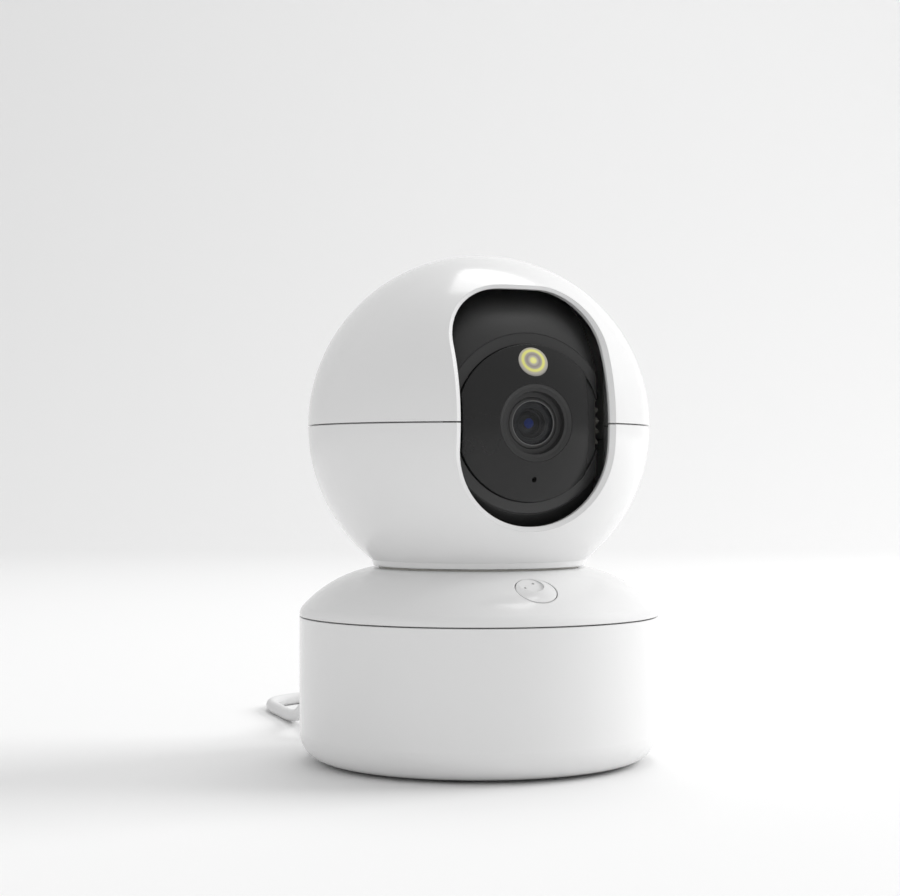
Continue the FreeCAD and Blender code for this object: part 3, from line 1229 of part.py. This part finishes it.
def card_board():
    """Board that carries the card cage and the reset switch."""
    low = CARD_T / 2 + CONTACT
    half = BALL_HALF - BOARD_SIDE
    board = block(1.5 - half, half, low, low + 0.8, RESET_SWITCH_TOP - 8.0, RESET_SWITCH_TOP + 0.3)
    switch = block(RESET_X - 2.0, RESET_X + 2.0, -1.6, low, RESET_SWITCH_TOP - 4.0, RESET_SWITCH_TOP)
    return card_frame(fused(board, switch))


def reset_button():
    stem_z = RESET_SWITCH_TOP + RESET_TRAVEL + SLIP
    stem = cyl(0.8, RESET_TOP - 1.0 - stem_z, V(RESET_X, 0, stem_z))
    flange = cyl(RESET_R + 0.5, 0.7, V(RESET_X, 0, RESET_TOP - 3.0))
    return card_frame(fused(stem, flange, cyl(RESET_R, 2.6, V(RESET_X, 0, RESET_TOP - 2.6))))


def tilt_axles():
    """Hollow stub axles, one in each flat side of the ball, flanged inside."""
    made = []
    for side in (-1, 1):
        along = V(side, 0, 0)
        inside = BALL_HALF - BALL_WALL - CONTACT
        end = (GEAR_X + TILT_GEAR_T + 0.4) if side > 0 else BRACKET_X + BRACKET_T + 0.6
        axle = cyl(AXLE_R, end - inside + 1.2, along * (inside - 1.2), along)
        flange = cyl(AXLE_R + 2.2, 1.2, along * (inside - 1.2), along)
        made.append(fused(axle, flange).cut(cyl(AXLE_BORE, 20, along * (inside - 3), along)))
    return group(made)


def tilt_gear():
    return upright_gear(TILT_TEETH, TILT_MOTOR_DEG).cut(cyl(AXLE_R, 20, V(GEAR_X - 5, 0, 0), X_AXIS))


def ball_loom():
    """Wires from the sensor board through the hollow left axle."""
    start = V(-5.5, -SENSOR_V + THIN_BOARD_T + LENS_SOCKET_T + CONTACT, 0)
    end = V(-BRACKET_X - BRACKET_T - 1.8, 0.1, 0)
    return loom([start, start + V(0, 1.6, 0), V(-6.9, -1.2, 0), V(-10.5, 0, 0), end], 1.2)


# ---------------------------------------------------------------- all parts
SKIN = head_skin()

BASE_PARTS = (
    base_cup, base_cover, foot_ring, tripod_insert, base_screws, pan_slip_ring, pan_motor, pan_motor_shaft,
    pan_pinion, pan_gear, pan_gear_screws, base_board, base_inner_screws, power_socket, speaker, button_board,
    call_switch, call_button, base_loom, power_plug, power_plug_tip, power_cord,
    cord_coil, cord_tail, cord_tie, usb_plug, usb_plug_shell)
HEAD_PARTS = (
    head_shell_lower, head_shell_upper, bracket_left, bracket_right, head_inner_screws, tilt_bushes, tilt_motor,
    tilt_motor_shaft, tilt_pinion, main_board, shield_can, wifi_antenna, head_loom,
    ball_shell, ball_rear_cover, face_plate, trim_ring, lens_bezel, lens_barrel, front_lens, lens_holder,
    image_sensor, sensor_board, sensor_board_screws, spotlight_lens, spotlight_board, microphone, card_slot, card_board,
    reset_button, tilt_axles, tilt_gear, ball_loom)

os.makedirs("parts", exist_ok=True)
for build in BASE_PARTS:
    build().exportStep("parts/%s.step" % build.__name__)
for build in HEAD_PARTS:
    in_head(build()).exportStep("parts/%s.step" % build.__name__)
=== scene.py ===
import math

import bpy
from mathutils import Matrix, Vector


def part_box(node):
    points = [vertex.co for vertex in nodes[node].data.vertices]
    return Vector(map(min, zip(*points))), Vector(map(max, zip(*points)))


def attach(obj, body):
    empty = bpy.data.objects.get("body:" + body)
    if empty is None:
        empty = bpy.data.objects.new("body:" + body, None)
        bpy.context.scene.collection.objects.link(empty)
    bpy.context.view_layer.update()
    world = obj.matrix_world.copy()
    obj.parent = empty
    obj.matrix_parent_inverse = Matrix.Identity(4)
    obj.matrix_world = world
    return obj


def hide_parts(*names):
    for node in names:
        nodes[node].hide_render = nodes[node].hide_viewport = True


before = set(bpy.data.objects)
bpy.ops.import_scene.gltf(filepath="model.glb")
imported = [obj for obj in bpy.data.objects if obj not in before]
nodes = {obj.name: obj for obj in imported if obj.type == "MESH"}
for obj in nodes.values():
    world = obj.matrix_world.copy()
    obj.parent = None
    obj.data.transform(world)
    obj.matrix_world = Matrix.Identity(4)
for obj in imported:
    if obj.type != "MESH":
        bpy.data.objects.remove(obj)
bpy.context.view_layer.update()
MM = 0.001

# ---------------------------------------------------------------- studio
# A pale matt table that curves up into a wall of the same paint, seen level from just over half the
# camera's height. One large softbox stands high on the right, and pale air fills the left side.

view_turn = math.radians(-21.4)
view_reach, view_height = 446 * MM, 66.3 * MM
lens_data = bpy.data.cameras.new("studio_camera")
lens_data.sensor_width, lens_data.lens = 36.0, 75.8
lens_data.shift_x, lens_data.shift_y = -0.0319, 0.0322
studio_camera = bpy.data.objects.new("studio_camera", lens_data)
studio_camera.location = (view_reach * math.sin(view_turn), -view_reach * math.cos(view_turn),
                          view_height)
studio_camera.rotation_euler = (math.radians(90), 0, view_turn)
bpy.context.scene.collection.objects.link(studio_camera)
bpy.context.scene.camera = studio_camera
bpy.context.scene.view_settings.view_transform = "Standard"


def srgb(text):
    """A linear colour from an sRGB hex value."""
    parts = [int(text[i:i + 2], 16) / 255 for i in (1, 3, 5)]
    return tuple(c / 12.92 if c <= 0.04045 else ((c + 0.055) / 1.055) ** 2.4 for c in parts) + (1.0,)


def softbox(name, right, up, away, size, watts):
    """A square lamp placed as seen from the camera, in metres from the object, which it faces."""
    data = bpy.data.lights.new(name, "AREA")
    data.shape, data.size, data.energy = "SQUARE", size, watts
    made = bpy.data.objects.new(name, data)
    cos, sin = math.cos(view_turn), math.sin(view_turn)
    made.location = (right * cos - away * sin, right * sin + away * cos, up)
    made.rotation_euler = (Vector((0, 0, 0.07)) - made.location).to_track_quat("-Z", "Y").to_euler()
    bpy.context.scene.collection.objects.link(made)
    return made


# The key is hidden from mirrored rays, so polished parts mirror pale air rather than a bright square.
softbox("key_softbox", 1.4, 0.95, 0.45, 1.0, 19.0).visible_glossy = False
softbox("top_softbox", 0.15, 1.5, 0.5, 0.8, 6.0)
air = bpy.data.worlds.new("studio_air")
air.use_nodes = True
air.node_tree.nodes["Background"].inputs["Color"].default_value = srgb("#F5F5F5")
air.node_tree.nodes["Background"].inputs["Strength"].default_value = 0.72
bpy.context.scene.world = air

table_half, table_back, cove_radius, wall_height, cove_steps = 3.0, 1.2, 0.6, 2.6, 16
cove = [(-table_half, 0.0)]
for step in range(cove_steps + 1):
    turn = math.radians(90 * step / cove_steps)
    cove.append((table_back + cove_radius * math.sin(turn), cove_radius * (1 - math.cos(turn))))
cove.append((table_back + cove_radius, wall_height))
table_mesh = bpy.data.meshes.new("table")
table_mesh.from_pydata([(x, y, z) for y, z in cove for x in (-table_half, table_half)], [],
                       [(2 * i, 2 * i + 1, 2 * i + 3, 2 * i + 2) for i in range(len(cove) - 1)])
table_mesh.polygons.foreach_set("use_smooth", [True] * len(table_mesh.polygons))
table = bpy.data.objects.new("table", table_mesh)
table.rotation_euler.z = view_turn
bpy.context.scene.collection.objects.link(table)
matt_paint = bpy.data.materials.new("matt_white_paint")
matt_paint.use_nodes = True
matt_paint.node_tree.nodes["Principled BSDF"].inputs["Base Color"].default_value = srgb("#EEEEEE")
matt_paint.node_tree.nodes["Principled BSDF"].inputs["Roughness"].default_value = 0.8
table_mesh.materials.append(matt_paint)


# ---------------------------------------------------------------- power cord
# A thin round USB cord, cores and screen in a soft light grey PVC jacket. It leaves a right-angle plug,
# drops to the table and runs back. What isn't in use is wound in two flat layers and held by a strap.

def add(tree, kind, settings=None, **links):
    """Adds a node. Settings go to its sockets or properties; links join its sockets to other outputs."""
    made = tree.nodes.new(kind)
    for name, value in (settings or {}).items():
        if name in made.inputs:
            made.inputs[name].default_value = value
        else:
            setattr(made, name, value)
    for name, source in links.items():
        tree.links.new(source, made.inputs[name.replace("_", " ")])
    return made


def moulded(name, colour, roughness, grain_mm=0.35, grain_depth=0.003, mottle=0.02, edge_mm=0.2, metal=0.0):
    """A moulded or plated surface: soft patches of tone and gloss 9 mm across, a fine skin, eased edges."""
    made = bpy.data.materials.new(name)
    made.use_nodes = True
    tree = made.node_tree
    surface = tree.nodes["Principled BSDF"]
    surface.inputs["Metallic"].default_value = metal
    place = add(tree, "ShaderNodeTexCoord").outputs["Object"]
    patches = add(tree, "ShaderNodeTexNoise", {"Scale": 1 / (9 * MM), "Detail": 3.0}, Vector=place)
    tone = add(tree, "ShaderNodeMapRange", {"To Min": 1 - mottle, "To Max": 1 + mottle},
               Value=patches.outputs["Fac"])
    shade = add(tree, "ShaderNodeVectorMath", {"operation": "SCALE"}, Scale=tone.outputs["Result"])
    shade.inputs[0].default_value = srgb(colour)[:3]
    tree.links.new(shade.outputs["Vector"], surface.inputs["Base Color"])
    gloss = add(tree, "ShaderNodeMapRange", {"To Min": roughness * 0.9, "To Max": roughness * 1.1},
                Value=patches.outputs["Fac"])
    tree.links.new(gloss.outputs["Result"], surface.inputs["Roughness"])
    grain = add(tree, "ShaderNodeTexNoise", {"Scale": 1 / (grain_mm * MM), "Detail": 2.0}, Vector=place)
    eased = add(tree, "ShaderNodeBevel", {"samples": 6, "Radius": edge_mm * MM})
    skin = add(tree, "ShaderNodeBump", {"Strength": 0.5, "Distance": grain_depth * MM},
               Height=grain.outputs["Fac"], Normal=eased.outputs["Normal"])
    tree.links.new(skin.outputs["Normal"], surface.inputs["Normal"])
    return made


# Soft PVC: a dull sheen that follows the cord, with a skin just short of smooth.
soft_pvc = moulded("soft_pvc_jacket", "#D9D9D9", 0.42, grain_mm=0.5, grain_depth=0.012, mottle=0.03)
cord_diameter = 3.3 * MM
floor_height = 1.67
lead_route = [(-10.5, 46.436, 11.8), (-16.4, 46.436, 11.8), (-21.6, 49.4, 10.8), (-24.6, 54.9, 8.8),
              (-24.7, 63.1, 5.5), (-23.4, 72.4, 2.8),
              (-22.9, 82.2, floor_height), (-22.4, 92.0, floor_height),
              (-22.3, 101.6, floor_height), (-20.2, 111.0, floor_height), (-14.0, 118.3, floor_height),
              (-5.2, 122.0, floor_height), (4.3, 122.1, floor_height), (13.9, 121.4, 1.9)]
tail_route = [(45.8, 83.3, 2.8), (46.4, 76.5, 3.8), (46.4, 69.8, 3.8)]
coil_x, coil_y, coil_foot = 15.4 * MM, 89.8 * MM, 0.55 * MM + cord_diameter / 2
columns, outer_turn = 6, 18.5 * MM + 2.5 * cord_diameter
entry_degrees, points_a_turn = 75.0, 16
winding = 2 * columns - 1 + entry_degrees / 360
climb, descent, last_turn_part = 0.5, 0.45, 0.2
slack, slack_rate = 0.35 * MM, 3.0
route = [Vector(point) * MM for point in lead_route]
steps = round(winding * points_a_turn)
for step in range(steps + 1):
    wound = winding * step / steps
    from_outside = min(wound, columns - 1, max(0.0, winding - wound - last_turn_part))
    rise = min(1.0, max(0.0, (wound - columns + 1) / climb))
    sink = min(1.0, max(0.0, (winding - wound) / descent))
    bearing = math.radians(entry_degrees - 360 * wound)
    reach = outer_turn - from_outside * cord_diameter + slack * math.sin(slack_rate * wound)
    route.append(Vector((coil_x + reach * math.cos(bearing), coil_y + reach * math.sin(bearing),
                         coil_foot + min(rise, sink) * cord_diameter)))
route += [Vector(point) * MM for point in tail_route]
cord_line = bpy.data.curves.new("power_cord_run", "CURVE")
cord_line.dimensions, cord_line.resolution_u = "3D", 6
cord_line.bevel_depth, cord_line.bevel_resolution = cord_diameter / 2, 6
cord_line.use_fill_caps = True
spline = cord_line.splines.new("NURBS")
spline.points.add(len(route) - 1)
for point, place in zip(spline.points, route):
    point.co = (*place, 1.0)
spline.order_u = 3
spline.use_endpoint_u = True
cord = bpy.data.objects.new("power_cord_run", cord_line)
bpy.context.scene.collection.objects.link(cord)
cord_line.materials.append(soft_pvc)
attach(cord, "base")
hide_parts("power_cord", "cord_coil", "cord_tail")


# ---------------------------------------------------------------- plugs and strap
# The plugs are moulded over the cord in a firmer PVC. Their shells are folded from nickel-plated steel
# strip. The strap is a woven nylon hook-and-loop tape, wrapped once round the coil.

def dress(material, *names):
    """Gives CAD nodes a finish in place of the plain one they come with."""
    for name in names:
        for slot in nodes[name].material_slots:
            slot.material = material


# Firm PVC: a spark-eroded mould gives it a fine even matt.
dress(moulded("firm_pvc_moulding", "#D4D4D5", 0.5, grain_mm=0.3, grain_depth=0.02, mottle=0.03,
              edge_mm=0.35), "power_plug", "usb_plug")
# Nickel plate: bright and slightly warm, a little wavy from the rolled strip.
nickel_plate = moulded("nickel_plated_steel", "#C9C7C2", 0.24, grain_mm=0.8, grain_depth=0.004,
                       mottle=0.05, metal=1.0)
dress(nickel_plate, "power_plug_tip", "usb_plug_shell", "power_socket", "shield_can", "card_slot",
      "microphone")

# Woven nylon: ribs across the tape 0.6 mm apart, dull, with lint-like tone.
tape = bpy.data.materials.new("woven_nylon_tape")
tape.use_nodes = True
tree = tape.node_tree
tape_surface = tree.nodes["Principled BSDF"]
place = add(tree, "ShaderNodeTexCoord").outputs["Object"]
rib_pitch, waves_per_scale = 0.6 * MM, 0.314
ribs = add(tree, "ShaderNodeTexWave",
           {"Scale": waves_per_scale / rib_pitch, "Distortion": 0.6, "wave_type": "RINGS"}, Vector=place)
lint = add(tree, "ShaderNodeTexNoise", {"Scale": 1 / (0.4 * MM), "Detail": 4.0}, Vector=place)
tape_tone = add(tree, "ShaderNodeMixRGB", {"Color1": srgb("#17171A"), "Color2": srgb("#303034")},
                Fac=lint.outputs["Fac"])
tree.links.new(tape_tone.outputs["Color"], tape_surface.inputs["Base Color"])
tape_surface.inputs["Roughness"].default_value = 0.9
tape_surface.inputs["Sheen Weight"].default_value = 0.4
rib_bump = add(tree, "ShaderNodeBump", {"Strength": 0.7, "Distance": 0.1 * MM}, Height=ribs.outputs["Fac"])
tree.links.new(rib_bump.outputs["Normal"], tape_surface.inputs["Normal"])
dress(tape, "cord_tie")


# ---------------------------------------------------------------- casings
# Base cup, base cover and the two halves of the head are injection moulded in white ABS from a polished
# mould. They snap and screw together and show a thin dark groove at each seam.

# Polished ABS: wide soft highlights, a faint orange peel 2 mm across, edges just off sharp.
white_abs = moulded("polished_white_abs", "#EAEAEA", 0.16, grain_mm=2.0, grain_depth=0.006, mottle=0.006,
                    edge_mm=0.3)
white_abs.node_tree.nodes["Principled BSDF"].inputs["IOR"].default_value = 1.53
dress(white_abs, "base_cup", "base_cover", "head_shell_lower", "head_shell_upper")


# ---------------------------------------------------------------- call button
# A separate cap of the same white ABS, dished off centre, that floats in a round hole in the cover. It
# presses a switch on a small board under it.

# The cap is polished a little more than the casings, so its rim catches the light.
dress(moulded("polished_white_abs_cap", "#E8E8E8", 0.14, grain_mm=1.6, grain_depth=0.004, mottle=0.006,
              edge_mm=0.25), "call_button")


# ---------------------------------------------------------------- underside
# A soft rubber ring is glued in a groove under the cup, and a knurled brass insert is pressed into the
# boss for a tripod screw. Three long zinc-plated screws go up through the posts into the cover.

# Moulded rubber: dark, dull, a grainy skin with dust tone.
dress(moulded("moulded_foot_rubber", "#2B2B2C", 0.78, grain_mm=0.4, grain_depth=0.03, mottle=0.14),
      "foot_ring")
# Turned brass: warm metal with a fine even tooling.
dress(moulded("turned_brass", "#C9A25A", 0.3, grain_mm=0.25, grain_depth=0.006, mottle=0.06, metal=1.0),
      "tripod_insert")
# Zinc plate on steel: cool grey metal, slightly cloudy.
dress(moulded("zinc_plated_steel", "#A9ABAE", 0.34, grain_mm=0.3, grain_depth=0.005, mottle=0.08,
              metal=1.0),
      "base_screws", "base_inner_screws", "pan_gear_screws", "head_inner_screws", "sensor_board_screws",
      "pan_motor_shaft", "tilt_motor_shaft", "tilt_axles")


# ---------------------------------------------------------------- lens ball
# The ball that tilts in the window is black ABS with a satin mould finish, closed by a flat cover at the
# back. A trim ring sits round its face.

# Satin ABS: deep grey-black with a broad low sheen from a fine spark-eroded grain.
satin_black = moulded("satin_black_abs", "#232323", 0.42, grain_mm=0.3, grain_depth=0.006, mottle=0.03,
                      edge_mm=0.35)
dress(satin_black, "ball_shell", "ball_rear_cover")
# The trim ring comes from a finer mould, so it reads a shade lighter.
dress(moulded("satin_black_trim", "#2E2E2E", 0.36, grain_mm=0.25, grain_depth=0.004, mottle=0.02,
              edge_mm=0.2), "trim_ring")


# ---------------------------------------------------------------- face
# The face is a domed plate of smoked polycarbonate, gloss in front, with infrared lamps' light able to
# pass. A small hole in it leads to the microphone.

# Smoked polycarbonate: a near-black body under a clear smooth skin that mirrors the room softly.
smoked_pc = moulded("smoked_polycarbonate", "#1A1A1A", 0.24, grain_mm=3.0, grain_depth=0.002, mottle=0.02,
                    edge_mm=0.2)
smoked_pc.node_tree.nodes["Principled BSDF"].inputs["IOR"].default_value = 1.42
dress(smoked_pc, "face_plate")


# ---------------------------------------------------------------- lens
# A black anodised bezel holds a threaded aluminium barrel. Its front element is a domed coated glass with
# a dark inner element, a small one with a painted blue reflection, and a stepped baffle behind it.

# Matt black anodising on turned parts: a slightly lighter black than the face, with a fine dull skin.
anodised = moulded("matt_black_anodised", "#2A2A2A", 0.45, grain_mm=0.2, grain_depth=0.004, mottle=0.02,
                   edge_mm=0.15)
dress(anodised, "lens_bezel")
# The barrel's anodising is thinner, so its threads and lip read greyer.
dress(moulded("black_anodised_barrel", "#3A3A3A", 0.33, grain_mm=0.2, grain_depth=0.003, mottle=0.03,
              edge_mm=0.1), "lens_barrel")

lens_low, lens_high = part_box("front_lens")
lens_middle = Vector(((lens_low[0] + lens_high[0]) / 2, 0, (lens_low[2] + lens_high[2]) / 2))
lens_back = -lens_high[1]


def turned(name, profile, material):
    """A piece turned about the lens axis, from (radius, distance behind the front lens's seat) in mm."""
    mesh = bpy.data.meshes.new(name)
    around, points = 96, []
    for radius, behind in profile:
        for n in range(around):
            a = 2 * math.pi * n / around
            points.append((lens_middle.x + radius * MM * math.cos(a), -(lens_back - behind * MM),
                           lens_middle.z + radius * MM * math.sin(a)))
    faces = []
    for ring in range(len(profile) - 1):
        for n in range(around):
            after = (n + 1) % around
            faces.append((ring * around + n, ring * around + after, (ring + 1) * around + after,
                          (ring + 1) * around + n))
    mesh.from_pydata(points, [], faces)
    mesh.polygons.foreach_set("use_smooth", [True] * len(mesh.polygons))
    mesh.materials.append(material)
    made = bpy.data.objects.new(name, mesh)
    bpy.context.scene.collection.objects.link(made)
    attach(made, "lens_ball")


def coated_glass(name, base, coat, bends, transmission):
    """Polished glass: its body's colour, the colour its coat gives to mirrored light, how much it bends."""
    made = bpy.data.materials.new(name)
    made.use_nodes = True
    surface = made.node_tree.nodes["Principled BSDF"]
    surface.inputs["Base Color"].default_value = srgb(base)
    surface.inputs["Roughness"].default_value = 0.03
    surface.inputs["IOR"].default_value = bends
    surface.inputs["Specular Tint"].default_value = srgb(coat)
    surface.inputs["Transmission Weight"].default_value = transmission
    return made


# Multi-coated crown glass: its coat cuts the mirrored light, as a lower index does, so it reads dark.
dress(coated_glass("coated_front_glass", "#B4B6BA", "#FFFFFF", 1.3, 1.0), "front_lens")
# Flocked black: swallows light behind the glass.
flat_black = moulded("flocked_black_baffle", "#0B0B0C", 0.85, grain_mm=0.15, grain_depth=0.02, mottle=0.1)
turned("lens_baffle", [(3.15, 0.1), (2.95, 0.1), (2.9, 0.45), (2.75, 0.45), (2.7, 0.9), (2.6, 1.0),
                       (2.6, 2.6), (1.9, 2.7), (1.9, 4.2), (1.1, 4.3), (1.05, 6.5), (0.01, 6.6)],
       flat_black)


def dome(radius, rise, rim):
    """Profile of a domed element, in mm: from its rim to the middle of its front."""
    curve = (radius ** 2 + rise ** 2) / (2 * rise)
    steps, points = 12, []
    for n in range(steps + 1):
        r = radius * (1 - n / steps) + 0.001
        points.append((r, rim - (math.sqrt(curve ** 2 - r ** 2) - (curve - rise))))
    return points


# The first inner element shows the dark inside of the barrel under one clean gloss.
turned("lens_inner_element", dome(2.58, 0.85, 1.9),
       coated_glass("dark_coated_glass", "#141518", "#FFFFFF", 1.6, 0.0))
turned("lens_rim_ring", [(2.62, 1.2), (2.45, 1.2), (2.4, 1.55)],
       moulded("black_anodised_ring", "#303030", 0.35))

# Aluminium left bright where the tool turned the lens's edge: one thin light line.
turned("lens_edge_ring", [(4.96, -1.42), (4.92, -1.49), (4.82, -1.49), (4.79, -1.42)],
       moulded("bright_turned_edge", "#6E6E6E", 0.4, edge_mm=0.05))
# The bezel's cone takes up the step between the face's hole and the bezel's flat front.
turned("bezel_cone", [(8.55, -3.24), (8.46, -3.3), (8.3, -3.2), (7.7, -2.83)], anodised)


# Flint glass of the second element, small and steep: its coat turns what it mirrors blue. Its body is
# painted deep blue too, a painted reflection of the coat's blue glint.
turned("lens_second_element", dome(1.3, 0.85, 1.6),
       coated_glass("coated_flint_painted_blue_reflection", "#2A4CB8", "#86A4FF", 1.9, 0.0))


# ---------------------------------------------------------------- spotlight
# A white LED stands on a small round board behind a clear disc of polycarbonate with moulded rings. The
# LED's yellow phosphor shows through the rings when it is off.

def radial_distance(tree, place, node, direction):
    """Distance of a surface point from the axis that runs through the middle of a node's box."""
    low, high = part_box(node)
    middle = [(a + b) / 2 for a, b in zip(low, high)]
    from_middle = add(tree, "ShaderNodeVectorMath", {"operation": "SUBTRACT"}, Vector=place)
    from_middle.inputs[1].default_value = middle
    across = add(tree, "ShaderNodeVectorMath", {"operation": "CROSS_PRODUCT"},
                 Vector=from_middle.outputs["Vector"])
    across.inputs[1].default_value = direction
    return add(tree, "ShaderNodeVectorMath", {"operation": "LENGTH"},
               Vector=across.outputs["Vector"]).outputs["Value"]


spot_height, face_radius = 13.5, 35.6
spot_tilt = math.asin(spot_height / face_radius)
spot_direction = (0, -math.cos(spot_tilt), math.sin(spot_tilt))
spot_glass = bpy.data.materials.new("ringed_clear_polycarbonate")
spot_glass.use_nodes = True
tree = spot_glass.node_tree
spot_surface = tree.nodes["Principled BSDF"]
place = add(tree, "ShaderNodeTexCoord").outputs["Object"]
distance = radial_distance(tree, place, "spotlight_lens", spot_direction)
spot_edge = 3.5 * MM
spread = add(tree, "ShaderNodeMapRange", {"From Max": spot_edge}, Value=distance)
rings = add(tree, "ShaderNodeValToRGB", Fac=spread.outputs["Result"])
bands = ((0.0, "#F2F0A0"), (0.17, "#E9E78A"), (0.27, "#B9B4A4"), (0.42, "#8F8784"), (0.56, "#A8A295"),
         (0.63, "#DEDD7E"), (0.74, "#E4E27C"), (0.83, "#B7B29B"), (0.93, "#A9A59C"), (1.0, "#8D8A84"))
ramp = rings.color_ramp
while len(ramp.elements) < len(bands):
    ramp.elements.new(0.5)
for element, (position, colour) in zip(ramp.elements, bands):
    element.position = position
    element.color = srgb(colour)
tree.links.new(rings.outputs["Color"], spot_surface.inputs["Base Color"])
spot_surface.inputs["Roughness"].default_value = 0.22
spot_surface.inputs["Coat Weight"].default_value = 1.0
spot_surface.inputs["Coat Roughness"].default_value = 0.03
dress(spot_glass, "spotlight_lens")


# ---------------------------------------------------------------- reset button
# A small rigid black ABS pin in a hole of the ball, beside the memory card slot under the face. It stands
# on a switch on the card's board and is pressed with a pin or a fingertip.

# Black ABS from a plain mould: a little grey, with a soft low gloss.

dress(moulded("black_abs_pin", "#26262A", 0.4, mottle=0.03, edge_mm=0.15), "reset_button")


# ---------------------------------------------------------------- drive
# Two small stepper motors in drawn steel cans turn acetal pinions. The large gears, the slip ring and
# the tilt bushes are acetal too; the brackets are grey ABS screwed to the lower shell.

# Drawn steel: grey metal with long soft streaks.
dress(moulded("drawn_steel_can", "#9A9A9C", 0.36, grain_mm=0.6, grain_depth=0.006, mottle=0.08, metal=1.0),
      "pan_motor", "tilt_motor")
# Acetal: a waxy off-white with a low sheen.
acetal = moulded("natural_acetal", "#E4E2DA", 0.4, grain_mm=0.4, grain_depth=0.004, mottle=0.02,
                 edge_mm=0.1)
dress(acetal, "pan_pinion", "tilt_pinion", "pan_gear", "tilt_gear", "pan_slip_ring", "tilt_bushes")
# Grey ABS: unpainted frame parts with a dull grain.
dress(moulded("grey_abs_frame", "#4A4B4D", 0.5, grain_mm=0.3, grain_depth=0.01, mottle=0.04),
      "bracket_left", "bracket_right", "lens_holder")


# ---------------------------------------------------------------- electronics
# Boards are glass-fibre laminate under green solder mask, screwed to posts, with moulded black chips. The
# wires between them run in one sleeve. Behind the sound holes stands a paper-cone speaker.

# Solder mask: gloss green over copper tracks 0.5 mm apart that show as slightly lighter lines.
mask = bpy.data.materials.new("green_solder_mask")
mask.use_nodes = True
tree = mask.node_tree
mask_surface = tree.nodes["Principled BSDF"]
place = add(tree, "ShaderNodeTexCoord").outputs["Object"]
tracks = add(tree, "ShaderNodeTexVoronoi", {"feature": "DISTANCE_TO_EDGE", "distance": "MANHATTAN",
                                            "Scale": 1 / (3 * MM)}, Vector=place)
line = add(tree, "ShaderNodeMath", {"operation": "LESS_THAN"}, Value=tracks.outputs["Distance"])
line_width = 0.06
line.inputs[1].default_value = line_width
laid = add(tree, "ShaderNodeMixRGB", {"Color1": srgb("#0F4A2C"), "Color2": srgb("#2C7A4C")},
           Fac=line.outputs["Value"])
tree.links.new(laid.outputs["Color"], mask_surface.inputs["Base Color"])
mask_surface.inputs["Roughness"].default_value = 0.25
track_bump = add(tree, "ShaderNodeBump", {"Strength": 0.4, "Distance": 0.03 * MM},
                 Height=line.outputs["Value"])
tree.links.new(track_bump.outputs["Normal"], mask_surface.inputs["Normal"])
dress(mask, "base_board", "button_board", "main_board", "sensor_board", "card_board", "spotlight_board")
# Epoxy: matt black chip bodies. Braid: dull, with a coarse weave. Paper: a rough black cone.
dress(moulded("moulded_epoxy", "#1C1C1D", 0.55, grain_mm=0.2, grain_depth=0.01, mottle=0.06),
      "image_sensor", "call_switch")
dress(moulded("braided_sleeve", "#232326", 0.7, grain_mm=0.5, grain_depth=0.08, mottle=0.15),
      "base_loom", "head_loom", "ball_loom")
dress(moulded("coated_paper_cone", "#1A1A1B", 0.75, grain_mm=0.5, grain_depth=0.04, mottle=0.1), "speaker")
# Polyimide: amber film over the aerial, smooth and slightly cloudy.
dress(moulded("polyimide_film", "#B0702A", 0.3, grain_mm=1.0, grain_depth=0.01, mottle=0.08),
      "wifi_antenna")
